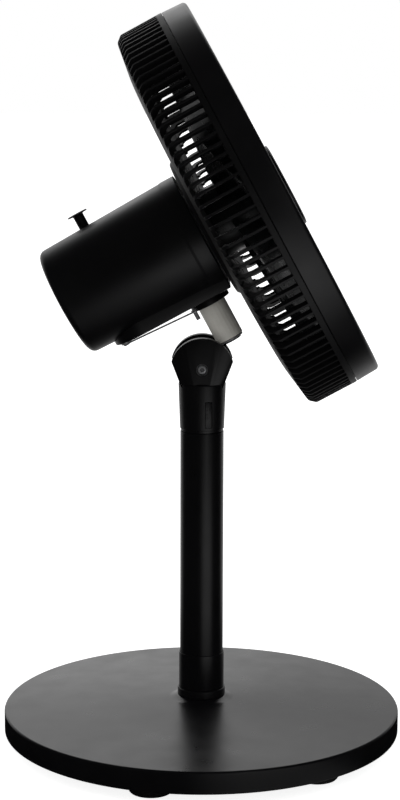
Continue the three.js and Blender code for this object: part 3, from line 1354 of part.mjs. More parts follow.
function makeCap() {
  return turnedX([
    [0, CAP_REAR - CAP_SPIGOT_LENGTH],
    [CAP_SPIGOT_RADIUS, CAP_REAR - CAP_SPIGOT_LENGTH],
    [CAP_SPIGOT_RADIUS, CAP_REAR],
    [CAP_RADIUS, CAP_REAR],
    [CAP_RADIUS, CAP_FRONT - CAP_EDGE],
    [CAP_RADIUS - CAP_EDGE, CAP_FRONT - CAP_EDGE * 0.3],
    [CAP_RADIUS * 0.6, CAP_FRONT],
    [0, CAP_FRONT],
  ]);
}

function makeGuards(group) {
  const nutRear = GUARD_HUB_REAR + GUARD_HUB_THICKNESS + GAP;
  const nut = tube(GUARD_NUT_RADIUS, BELL_BOSS_RADIUS + GAP, nutRear, nutRear + GUARD_NUT);
  piece(group, 'rear_guard', makeRearGuard(), blackShell);
  piece(group, 'guard_nut', turnedX(nut), blackShell);
  piece(group, 'front_ring', makeFrontRing(), blackShell);
  piece(group, 'front_grille', makeGrille(), blackShell);
  piece(group, 'front_cap', makeCap(), blackShell);
}

// ---------------------------------------------------------------- assembly

const fan = new THREE.Group();

const stand = new THREE.Group();
fan.add(stand);
makeStand(stand);
makeNeck(stand);

const tilted = new THREE.Group();
tilted.position.z = PIVOT_Z;
tilted.rotation.y = -HEAD_TILT;
fan.add(tilted);

const head = new THREE.Group();
tilted.add(head);

piece(tilted, 'tilt_bracket', makeTiltBracket(), blackShell);
makeSwivelParts(tilted, head);
makeDrive(tilted, head);
makeCover(head);
makeMotor(head);
makeShaftLine(head);
makeGuards(head);

export default fan;
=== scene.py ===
"""Air circulator fan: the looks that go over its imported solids.

Pieces are modelled in millimetres, in the frame of the sub-assembly that they belong to, and
``settle`` then puts them in the row frame, which is in metres.
"""

import json
import logging
import math
from collections.abc import Callable, Sequence
from dataclasses import dataclass
from enum import Enum
from functools import cache

import bpy
from mathutils import Matrix, Vector


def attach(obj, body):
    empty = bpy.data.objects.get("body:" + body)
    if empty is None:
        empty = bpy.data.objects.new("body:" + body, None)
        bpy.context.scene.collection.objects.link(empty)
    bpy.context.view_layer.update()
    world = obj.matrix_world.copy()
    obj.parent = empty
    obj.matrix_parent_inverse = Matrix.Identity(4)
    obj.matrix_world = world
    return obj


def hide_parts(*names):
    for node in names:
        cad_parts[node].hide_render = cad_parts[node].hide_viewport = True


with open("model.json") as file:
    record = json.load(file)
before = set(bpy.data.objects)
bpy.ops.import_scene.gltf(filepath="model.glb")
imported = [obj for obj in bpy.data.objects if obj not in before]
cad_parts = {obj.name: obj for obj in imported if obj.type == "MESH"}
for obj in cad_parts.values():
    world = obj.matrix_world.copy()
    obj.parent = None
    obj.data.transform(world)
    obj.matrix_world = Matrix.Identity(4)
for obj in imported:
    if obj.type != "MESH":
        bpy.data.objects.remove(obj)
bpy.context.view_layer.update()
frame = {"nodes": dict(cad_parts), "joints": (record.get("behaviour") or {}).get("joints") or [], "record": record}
log = logging.getLogger("fan")

MM = 0.001
FULL_TURN = 2 * math.pi
MERGE = 1e-4
HAIR = 0.05
FINE = 160
MEDIUM = 96
SMALL = 48

Colour = tuple[float, float, float]
Outline = Sequence[Sequence[float]]


# ---------------------------------------------------------------- finishes


class Slot(Enum):
    """The material slots of the record."""

    HOUSING = "housing"
    STAND_PAINT = "stand_paint"
    FOOT_RUBBER = "foot_rubber"
    STEEL = "steel"
    IRON = "iron"
    ALUMINIUM = "aluminium"
    LAMINATIONS = "laminations"
    COPPER = "copper"
    BRASS = "brass"
    NYLON = "nylon"
    BLADE = "blade"
    GREY_PLASTIC = "grey_plastic"


class Relief(Enum):
    """The small relief that a finish shows."""

    GRAIN = "grain"
    PEEL = "peel"
    BANDS = "bands"


@dataclass(frozen=True)
class Finish:
    """A finish: two close tones, a range of gloss and a small relief.

    Attributes:
        slot: The record's material slot.
        tones: The darker and the lighter tone of the surface.
        gloss: The lowest and the highest roughness.
        metallic: 1 for bare metal.
        relief: The kind of relief.
        pitch: The size of one grain or band, in millimetres.
        depth: The depth of the relief, in millimetres.
        coat: The weight of a clear coat.
    """

    slot: Slot
    tones: tuple[Colour, Colour]
    gloss: tuple[float, float]
    metallic: float = 0.0
    relief: Relief = Relief.GRAIN
    pitch: float = 0.8
    depth: float = 0.01
    coat: float = 0.0

    @cache
    def material(self) -> bpy.types.Material:
        """Builds the material, once.

        Returns:
            The material, which reads object coordinates.
        """
        made = bpy.data.materials.new(f"{self.slot.value}_finish")
        made.use_nodes = True
        tree = made.node_tree
        shader = tree.nodes["Principled BSDF"]
        shader.inputs["Metallic"].default_value = self.metallic
        shader.inputs["Coat Weight"].default_value = self.coat
        shader.inputs["Coat Roughness"].default_value = 0.18
        place = tree.nodes.new("ShaderNodeTexCoord").outputs["Object"]
        drift = self._noise(tree, place, 1 / (28 * MM), 3)
        speckle = self._noise(tree, place, 1 / (2.2 * MM), 2)
        blend = tree.nodes.new("ShaderNodeMath")
        blend.operation = "MULTIPLY_ADD"
        tree.links.new(speckle, blend.inputs[0])
        blend.inputs[1].default_value = 0.35
        tree.links.new(drift, blend.inputs[2])
        tone = tree.nodes.new("ShaderNodeValToRGB")
        tone.color_ramp.elements[0].position = 0.4
        tone.color_ramp.elements[1].position = 0.95
        for stop, colour in zip(tone.color_ramp.elements, self.tones):
            stop.color = (*colour, 1)
        tree.links.new(blend.outputs[0], tone.inputs["Fac"])
        tree.links.new(tone.outputs["Color"], shader.inputs["Base Color"])
        gloss = tree.nodes.new("ShaderNodeMapRange")
        gloss.inputs["From Min"].default_value = 0.3
        gloss.inputs["From Max"].default_value = 0.7
        gloss.inputs["To Min"].default_value = self.gloss[0]
        gloss.inputs["To Max"].default_value = self.gloss[1]
        tree.links.new(drift, gloss.inputs["Value"])
        tree.links.new(gloss.outputs["Result"], shader.inputs["Roughness"])
        bump = tree.nodes.new("ShaderNodeBump")
        bump.inputs["Strength"].default_value = 0.6
        bump.inputs["Distance"].default_value = self.depth * MM
        tree.links.new(self._height(tree, place), bump.inputs["Height"])
        tree.links.new(bump.outputs["Normal"], shader.inputs["Normal"])
        return made

    def _noise(
        self,
        tree: bpy.types.NodeTree,
        place: bpy.types.NodeSocket,
        scale: float,
        detail: float,
    ) -> bpy.types.NodeSocket:
        """Adds a noise pattern.

        Args:
            tree: The material's nodes.
            place: The coordinates that the pattern reads.
            scale: How many features there are in a metre.
            detail: How many finer layers it has.

        Returns:
            The pattern's value.
        """
        noise = tree.nodes.new("ShaderNodeTexNoise")
        noise.inputs["Scale"].default_value = scale
        noise.inputs["Detail"].default_value = detail
        tree.links.new(place, noise.inputs["Vector"])
        return noise.outputs["Fac"]

    def _height(
        self, tree: bpy.types.NodeTree, place: bpy.types.NodeSocket
    ) -> bpy.types.NodeSocket:
        """Adds the pattern of the relief.

        Args:
            tree: The material's nodes.
            place: The coordinates that the pattern reads.

        Returns:
            The height of the relief, from 0 to 1.
        """
        scale = 1 / (self.pitch * MM)
        if self.relief is Relief.BANDS:
            along = tree.nodes.new("ShaderNodeMapping")
            along.inputs["Rotation"].default_value = (0, axes.tilt, 0)
            tree.links.new(place, along.inputs["Vector"])
            wave = tree.nodes.new("ShaderNodeTexWave")
            wave.inputs["Scale"].default_value = scale / FULL_TURN * 2
            wave.inputs["Distortion"].default_value = 0.4
            tree.links.new(along.outputs["Vector"], wave.inputs["Vector"])
            return wave.outputs["Fac"]
        return self._noise(tree, place, scale, 1 if self.relief is Relief.PEEL else 5)


MOULDED = Finish(
    Slot.HOUSING, ((0.0022, 0.0020, 0.0028), (0.0038, 0.0035, 0.0046)), (0.35, 0.43)
)
MATT = Finish(
    Slot.HOUSING, ((0.0022, 0.0020, 0.0028), (0.0038, 0.0035, 0.0046)), (0.50, 0.60)
)
PAINT = Finish(
    Slot.STAND_PAINT,
    ((0.0022, 0.0021, 0.0027), (0.0036, 0.0034, 0.0043)),
    (0.27, 0.33),
    relief=Relief.PEEL,
    pitch=1.1,
    depth=0.012,
)
RUBBER = Finish(
    Slot.FOOT_RUBBER, ((0.004, 0.004, 0.004), (0.008, 0.008, 0.0078)), (0.7, 0.85)
)
ZINC = Finish(
    Slot.STEEL,
    ((0.50, 0.51, 0.53), (0.66, 0.66, 0.67)),
    (0.25, 0.40),
    metallic=0.75,
    pitch=0.5,
    depth=0.006,
)
IRON = Finish(
    Slot.IRON,
    ((0.14, 0.14, 0.145), (0.24, 0.24, 0.245)),
    (0.55, 0.75),
    metallic=0.8,
    pitch=1.6,
    depth=0.08,
)
DIE_CAST = Finish(
    Slot.ALUMINIUM,
    ((0.55, 0.56, 0.58), (0.70, 0.71, 0.73)),
    (0.38, 0.52),
    metallic=1.0,
    pitch=0.9,
    depth=0.02,
)
STACKED = Finish(
    Slot.LAMINATIONS,
    ((0.22, 0.23, 0.25), (0.36, 0.37, 0.38)),
    (0.4, 0.6),
    metallic=0.9,
    relief=Relief.BANDS,
    pitch=0.5,
    depth=0.05,
)
WOUND = Finish(
    Slot.COPPER,
    ((0.45, 0.19, 0.08), (0.66, 0.33, 0.16)),
    (0.25, 0.4),
    metallic=0.9,
    relief=Relief.BANDS,
    pitch=0.7,
    depth=0.15,
)
TURNED_BRASS = Finish(
    Slot.BRASS,
    ((0.55, 0.42, 0.18), (0.70, 0.56, 0.28)),
    (0.25, 0.4),
    metallic=1.0,
    relief=Relief.BANDS,
    pitch=0.3,
    depth=0.006,
)
NYLON = Finish(
    Slot.NYLON, ((0.68, 0.66, 0.60), (0.80, 0.78, 0.72)), (0.42, 0.55), depth=0.02
)
SMOKE = Finish(
    Slot.BLADE,
    ((0.0030, 0.0040, 0.0043), (0.0055, 0.0068, 0.0072)),
    (0.24, 0.32),
    pitch=1.4,
    depth=0.005,
)
GREY = Finish(
    Slot.GREY_PLASTIC, ((0.09, 0.094, 0.098), (0.13, 0.135, 0.14)), (0.45, 0.6)
)
FINISHES = (
    MOULDED,
    PAINT,
    RUBBER,
    ZINC,
    IRON,
    DIE_CAST,
    STACKED,
    WOUND,
    TURNED_BRASS,
    NYLON,
    SMOKE,
    GREY,
)


# ---------------------------------------------------------------- frame


class Axes:
    """The places and directions that the joints of the frame give.

    Attributes:
        pivot: The tilt pivot, in metres.
        tilt: How far the head leans back from level, in radians.
        head: The head's frame: X forward along the fan, Z up along the swivel.
        fan: The fan's frame in the head's, in millimetres: Z forward along the fan's axis.
        swivel_x: How far the swivel axis stands before the pivot, in millimetres.
        crank: The crank axis in the head's frame, in millimetres.
    """

    def __init__(self, joints: Sequence[dict]) -> None:
        """Reads the joints.

        Args:
            joints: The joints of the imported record.
        """
        named = {joint["name"]: joint for joint in joints}
        self.pivot = Vector(named["head_tilt"]["pos_m"])
        up = Vector(named["oscillation"]["axis"]).normalized()
        forward = Vector(named["blade_spin"]["axis"]).normalized()
        self.tilt = math.atan2(forward.z, forward.x)
        turn = Matrix((forward, up.cross(forward), up)).transposed().to_4x4()
        self.head = Matrix.Translation(self.pivot) @ turn
        fan_height = self.in_head(named["blade_spin"]["pos_m"]).z
        raised = Matrix.Translation((0, 0, fan_height))
        self.fan = raised @ Matrix.Rotation(math.pi / 2, 4, "Y")
        self.swivel_x = self.in_head(named["oscillation"]["pos_m"]).x
        self.crank = self.in_head(named["crank_turn"]["pos_m"])

    def in_head(self, point: Sequence[float]) -> Vector:
        """Gives a point of the row frame in the head's frame, in millimetres."""
        return self.head.inverted() @ Vector(point) / MM


axes = Axes(frame["joints"])
STAND_FRAME = Matrix.Identity(4)
HEAD_FRAME = axes.head
UPRIGHT = Matrix.Identity(4)


@cache
def extent(node: str, in_head: bool = False) -> tuple[Vector, Vector]:
    """Measures a CAD node in the stand's or the head's frame.

    Args:
        node: The node's name.
        in_head: Whether the head's frame is meant.

    Returns:
        The lowest and the highest corner, in millimetres.
    """
    place = HEAD_FRAME.inverted() if in_head else STAND_FRAME
    points = [place @ v.co / MM for v in frame["nodes"][node].data.vertices]
    low = Vector([min(p[k] for p in points) for k in range(3)])
    high = Vector([max(p[k] for p in points) for k in range(3)])
    return low, high


# ---------------------------------------------------------------- modelling


def clear_selection() -> None:
    """Leaves edit mode and deselects everything."""
    if bpy.context.mode != "OBJECT":
        bpy.ops.object.mode_set(mode="OBJECT")
    bpy.ops.object.select_all(action="DESELECT")


def activate(*pieces: bpy.types.Object) -> None:
    """Selects some pieces and makes the first one active."""
    clear_selection()
    for piece in pieces:
        piece.select_set(True)
    bpy.context.view_layer.objects.active = pieces[0]


def soften(outline: Outline, closed: bool = True) -> list[Vector]:
    """Rounds the corners of an outline.

    Args:
        outline: Corners (x, y), or (x, y, radius) where a corner is rounded.
        closed: Whether the last corner joins the first.

    Returns:
        The points of the rounded outline.
    """
    points: list[Vector] = []
    count = len(outline)
    for i, corner in enumerate(outline):
        here = Vector(corner[:2])
        inner = closed or 0 < i < count - 1
        if len(corner) < 3 or not inner:
            points.append(here)
            continue
        back = Vector(outline[i - 1][:2]) - here
        ahead = Vector(outline[(i + 1) % count][:2]) - here
        half = back.angle(ahead) / 2
        cut = min(corner[2] / math.tan(half), 0.49 * min(back.length, ahead.length))
        radius = cut * math.tan(half)
        middle = (back.normalized() + ahead.normalized()).normalized()
        centre = here + middle * (radius / math.sin(half))
        start = here + back.normalized() * cut - centre
        end = here + ahead.normalized() * cut - centre
        steps = max(2, round(math.degrees(start.angle(end)) / 15))
        sweep = start.angle_signed(end)
        for step in range(steps + 1):
            turn = Matrix.Rotation(-sweep * step / steps, 2)
            points.append(centre + turn @ start)
    return points


def trace(name: str, points: Sequence[Vector], closed: bool) -> bpy.types.Object:
    """Draws a line of edges by extruding one vertex from point to point.

    Args:
        name: The new object's name.
        points: The points, in millimetres.
        closed: Whether the line comes back to its start.

    Returns:
        The object, in edit mode.
    """
    clear_selection()
    bpy.ops.mesh.primitive_plane_add(size=1)
    made = bpy.context.object
    made.name = made.data.name = name
    bpy.ops.object.mode_set(mode="EDIT")
    bpy.ops.mesh.select_all(action="SELECT")
    bpy.ops.mesh.merge(type="CENTER")
    bpy.ops.transform.translate(value=points[0])
    stops = [*points, points[0]] if closed else list(points)
    for here, ahead in zip(stops, stops[1:]):
        step = {"value": ahead - here}
        bpy.ops.mesh.extrude_region_move(TRANSFORM_OT_translate=step)
    bpy.ops.mesh.select_all(action="SELECT")
    bpy.ops.mesh.remove_doubles(threshold=MERGE)
    return made


def tidy_mesh() -> None:
    """Merges the doubles of the mesh in edit mode and points its faces outwards."""
    bpy.ops.mesh.select_all(action="SELECT")
    bpy.ops.mesh.remove_doubles(threshold=MERGE)
    bpy.ops.mesh.normals_make_consistent(inside=False)
    bpy.ops.object.mode_set(mode="OBJECT")


def turned(
    name: str,
    profile: Outline,
    steps: int = MEDIUM,
    closed: bool = True,
    place: Matrix = UPRIGHT,
) -> bpy.types.Object:
    """Turns a profile about the Z axis.

    Args:
        name: The new object's name.
        profile: Corners (radius, height) or (radius, height, rounding).
        steps: How many facets go round.
        closed: Whether the profile is a ring's section. Otherwise it ends on the axis.
        place: Where the turned piece goes in its sub-assembly.

    Returns:
        The piece.
    """
    points = [Vector((p.x, 0, p.y)) for p in soften(profile, closed)]
    made = trace(name, points, closed)
    bpy.ops.mesh.spin(
        steps=steps, angle=FULL_TURN, center=(0, 0, 0), axis=(0, 0, 1)
    )
    tidy_mesh()
    shift(made, place)
    return made


def prism(
    name: str,
    outline: Outline,
    start: float,
    end: float,
    place: Matrix = UPRIGHT,
) -> bpy.types.Object:
    """Extrudes an outline in XY along Z.

    Args:
        name: The new object's name.
        outline: Corners (x, y) or (x, y, rounding).
        start: The lower level.
        end: The upper level.
        place: Where the prism goes in its sub-assembly.

    Returns:
        The piece.
    """
    points = [Vector((p.x, p.y, start)) for p in soften(outline)]
    made = trace(name, points, closed=True)
    bpy.ops.mesh.edge_face_add()
    rise = {"value": (0, 0, end - start)}
    bpy.ops.mesh.extrude_region_move(TRANSFORM_OT_translate=rise)
    tidy_mesh()
    shift(made, place)
    return made


def rod(
    radius: float, start: float, end: float, place: Matrix = UPRIGHT
) -> bpy.types.Object:
    """Makes a plain round bar along Z, to cut with or to build from."""
    profile = [(0, start), (radius, start), (radius, end), (0, end)]
    return turned("rod", profile, SMALL * 2, closed=False, place=place)


def block(low: Sequence[float], high: Sequence[float]) -> bpy.types.Object:
    """Makes a box between two corners, to cut with or to build from."""
    (x0, y0, z0), (x1, y1, z1) = low, high
    return prism("block", [(x0, y0), (x1, y0), (x1, y1), (x0, y1)], z0, z1)


def shift(piece: bpy.types.Object, place: Matrix) -> None:
    """Moves a piece and applies the move to its mesh."""
    activate(piece)
    piece.matrix_world = place @ piece.matrix_world
    bpy.ops.object.transform_apply(location=True, rotation=True, scale=True)


def along_y(x: float = 0, z: float = 0) -> Matrix:
    """Turns Z to Y, through the point (x, z)."""
    return Matrix.Translation((x, 0, z)) @ Matrix.Rotation(-math.pi / 2, 4, "X")


def apply_modifier(piece: bpy.types.Object, kind: str, **values: object) -> None:
    """Adds a modifier to a piece and applies it.

    Args:
        piece: The piece.
        kind: The modifier's type.
        **values: The modifier's settings.
    """
    activate(piece)
    bpy.ops.object.modifier_add(type=kind)
    modifier = piece.modifiers[-1]
    for key, value in values.items():
        setattr(modifier, key, value)
    bpy.ops.object.modifier_apply(modifier=modifier.name)


def combine(piece: bpy.types.Object, tool: bpy.types.Object, operation: str) -> None:
    """Joins, cuts or intersects a piece with a tool, which is then removed.

    Args:
        piece: The piece that stays.
        tool: The piece that works on it.
        operation: UNION, DIFFERENCE or INTERSECT.
    """
    apply_modifier(
        piece, "BOOLEAN", operation=operation, object=tool, solver="EXACT"
    )
    activate(tool)
    bpy.ops.object.delete()


def cut(piece: bpy.types.Object, *tools: bpy.types.Object) -> None:
    """Cuts some tools out of a piece."""
    for tool in tools:
        combine(piece, tool, "DIFFERENCE")


def fuse(piece: bpy.types.Object, *others: bpy.types.Object) -> None:
    """Joins some solids to a piece as one skin."""
    for other in others:
        combine(piece, other, "UNION")


def gather(piece: bpy.types.Object, *others: bpy.types.Object) -> None:
    """Puts the meshes of some pieces together in the first one."""
    activate(piece, *others)
    bpy.ops.object.join()


def round_edges(
    piece: bpy.types.Object, width: float, segments: int = 2, angle: float = 32
) -> None:
    """Rounds the sharp edges of a piece.

    Args:
        piece: The piece.
        width: The width of the rounding, in millimetres.
        segments: How many facets it has.
        angle: The least angle of an edge that is rounded, in degrees.
    """
    apply_modifier(
        piece,
        "BEVEL",
        width=width,
        segments=segments,
        limit_method="ANGLE",
        angle_limit=math.radians(angle),
        use_clamp_overlap=True,
    )


def pick(piece: bpy.types.Object, chosen: Callable[[Vector], bool]) -> None:
    """Selects some vertices of a piece and leaves it in edit mode.

    Args:
        piece: The piece.
        chosen: Says of a vertex's place whether it is selected.
    """
    activate(piece)
    bpy.ops.object.mode_set(mode="EDIT")
    bpy.ops.mesh.select_mode(type="VERT")
    bpy.ops.mesh.select_all(action="DESELECT")
    bpy.ops.object.mode_set(mode="OBJECT")
    for vertex in piece.data.vertices:
        vertex.select = chosen(vertex.co)
    bpy.ops.object.mode_set(mode="EDIT")


def repeat_round(piece: bpy.types.Object, count: int) -> None:
    """Copies a piece's mesh round the Z axis, inside the same mesh.

    Args:
        piece: The piece.
        count: How many there are in the end.
    """
    activate(piece)
    bpy.ops.object.mode_set(mode="EDIT")
    bpy.ops.mesh.select_all(action="SELECT")
    bpy.ops.mesh.spin(
        steps=count - 1,
        angle=FULL_TURN * (count - 1) / count,
        dupli=True,
        center=(0, 0, 0),
        axis=(0, 0, 1),
    )
    bpy.ops.object.mode_set(mode="OBJECT")


@dataclass
class Assembly:
    """Pieces that are modelled in one frame.

    Attributes:
        frame: The frame, from metres to the row frame.
    """

    frame: Matrix = STAND_FRAME

    def settle(
        self,
        piece: bpy.types.Object,
        body: str,
        finish: Finish,
        *nodes: str,
        crease: float = 34,
    ) -> bpy.types.Object:
        """Puts a finished piece in the row frame, dresses it and lets it ride.

        Args:
            piece: The piece, in millimetres.
            body: The body that carries it.
            finish: Its finish.
            *nodes: The CAD nodes that it stands for.
            crease: The angle above which an edge stays sharp, in degrees.

        Returns:
            The piece.
        """
        shift(piece, self.frame @ Matrix.Scale(MM, 4))
        activate(piece)
        bpy.ops.object.shade_smooth_by_angle(angle=math.radians(crease))
        piece.data.materials.clear()
        piece.data.materials.append(finish.material())
        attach(piece, body)
        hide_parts(*nodes)
        log.info("%s: %d faces", piece.name, len(piece.data.polygons))
        return piece


# ---------------------------------------------------------------- stand


@dataclass
class Stand(Assembly):
    """The disc base on its feet, the pole and what joins them."""

    foot_count: int = 6
    foot_edge: float = 1.5
    rim_edge: float = 2.0
    cone_rise: float = 7.0
    flare_radius: float = 28.0
    flare_rise: float = 2.3
    flare_steps: int = 6
    wall: float = 2.5
    collar_edge: float = 0.9
    pole_wall: float = 1.5
    gap: float = 0.3

    def build(self) -> None:
        """Builds every piece of the stand."""
        self.feet()
        self.base_cover()
        self.collar()
        self.sleeve()
        self.pole()
        self.gland()
        self.pole_bolt()

    def feet(self) -> None:
        """Makes one foot with a hollow underside and copies it to each place."""
        low, high = extent("foot_1")
        radius = (high.x - low.x) / 2
        top = high.z
        profile = [
            (0, 1.2),
            (radius * 0.62, 1.2, 0.6),
            (radius * 0.68, 0, 0.6),
            (radius - self.foot_edge, 0, 1.2),
            (radius, self.foot_edge, 1.0),
            (radius, top - 1.2, 0.5),
            (radius - 0.8, top, 0.4),
            (0, top),
        ]
        first = turned("foot_pad_1", profile, SMALL, closed=False)
        for number in range(1, self.foot_count + 1):
            activate(first)
            bpy.ops.object.duplicate(linked=False)
            foot = bpy.context.object
            node = f"foot_{number}"
            foot.name = foot.data.name = f"rubber_{node}"
            low, high = extent(node)
            middle = (low + high) / 2
            shift(foot, Matrix.Translation((middle.x, middle.y, 0)))
            self.settle(foot, "stand", RUBBER, node)
        activate(first)
        bpy.ops.object.delete()

    def base_cover(self) -> None:
        """Makes the painted cover of the base, with its flare round the pole."""
        low, high = extent("base_cover")
        radius, bottom, top = high.x, low.z, high.z
        cone_top = top - self.flare_rise
        rim_top = cone_top - self.cone_rise
        bore = extent("pole_tube")[1].x + self.gap
        mouth = extent("base_collar")[1].x + self.gap
        profile = [
            (radius - self.wall, bottom),
            (radius, bottom, 0.8),
            (radius, rim_top, self.rim_edge),
        ]
        for step in range(self.flare_steps + 1):
            share = step / self.flare_steps
            across = self.flare_radius + share * (mouth - self.flare_radius)
            profile.append((across, cone_top + self.flare_rise * share**1.6))
        profile += [
            (bore, top),
            (bore, cone_top - self.wall),
            (radius - self.wall, rim_top - self.wall),
        ]
        cover = turned("painted_base", profile, FINE * 2)
        hole_low, hole_high = extent("cord_gland")
        height = (hole_low.z + hole_high.z) / 2
        neck = (hole_high.z - hole_low.z) / 2
        cut(cover, rod(neck, radius - 12, radius + 5, along_y(0, height)))
        self.settle(cover, "stand", PAINT, "base_cover")

    def collar(self) -> None:
        """Makes the narrow collar where the pole leaves the base."""
        low, high = extent("base_collar")
        bore = extent("pole_tube")[1].x + self.gap
        profile = [
            (bore, low.z),
            (high.x, low.z, 0.3),
            (high.x, high.z, self.collar_edge),
            (bore, high.z, 0.3),
        ]
        self.settle(
            turned("moulded_collar", profile, FINE), "stand", MOULDED, "base_collar"
        )

    def sleeve(self) -> None:
        """Makes the short sleeve low on the pole."""
        low, high = extent("pole_sleeve")
        bore = extent("pole_tube")[1].x + self.gap
        profile = [
            (bore, low.z),
            (high.x, low.z, 0.25),
            (high.x, high.z, 0.3),
            (bore, high.z),
        ]
        self.settle(
            turned("painted_sleeve", profile, FINE), "stand", PAINT, "pole_sleeve"
        )

    def pole(self) -> None:
        """Makes the pole."""
        low, high = extent("pole_tube")
        bore = high.x - self.pole_wall
        profile = [
            (bore, low.z),
            (high.x, low.z),
            (high.x, high.z, 0.35),
            (bore, high.z),
        ]
        self.settle(
            turned("painted_pole", profile, FINE), "stand", PAINT, "pole_tube"
        )

    def gland(self) -> None:
        """Makes the grommet in the rim, with a lip outside and a flange inside."""
        low, high = extent("cord_gland")
        height = (low.z + high.z) / 2
        flange = (high.z - low.z) / 2
        neck, bore = flange - 1.4, flange - 2.6
        profile = [
            (bore, low.y, 0.4),
            (flange, low.y, 0.6),
            (flange, low.y + 3, 0.4),
            (neck, low.y + 3),
            (neck, high.y, 0.7),
            (bore, high.y, 0.7),
        ]
        made = turned("rubber_grommet", profile, SMALL, place=along_y(0, height))
        self.settle(made, "stand", RUBBER, "cord_gland")

    def pole_bolt(self) -> None:
        """Makes the hexagon bolt under the base, with its washer face."""
        low, high = extent("base_bolt")
        radius = high.x
        shank = 4.0
        head = 4.5
        corners = [
            (radius * math.cos(k * math.pi / 3), radius * math.sin(k * math.pi / 3))
            for k in range(6)
        ]
        bolt = prism("hexagon_bolt", corners, low.z, low.z + head - 0.6)
        round_edges(bolt, 0.5)
        face = turned(
            "washer_face",
            [(0, 0), (radius * 0.96, 0, 0.2), (radius * 0.96, 0.6, 0.2), (0, 0.6)],
            SMALL,
            closed=False,
            place=Matrix.Translation((0, 0, low.z + head - 0.6 - HAIR)),
        )
        stem = rod(shank, low.z + head - 1, high.z)
        gather(bolt, face, stem)
        self.settle(bolt, "stand", ZINC, "base_bolt")


# ---------------------------------------------------------------- neck


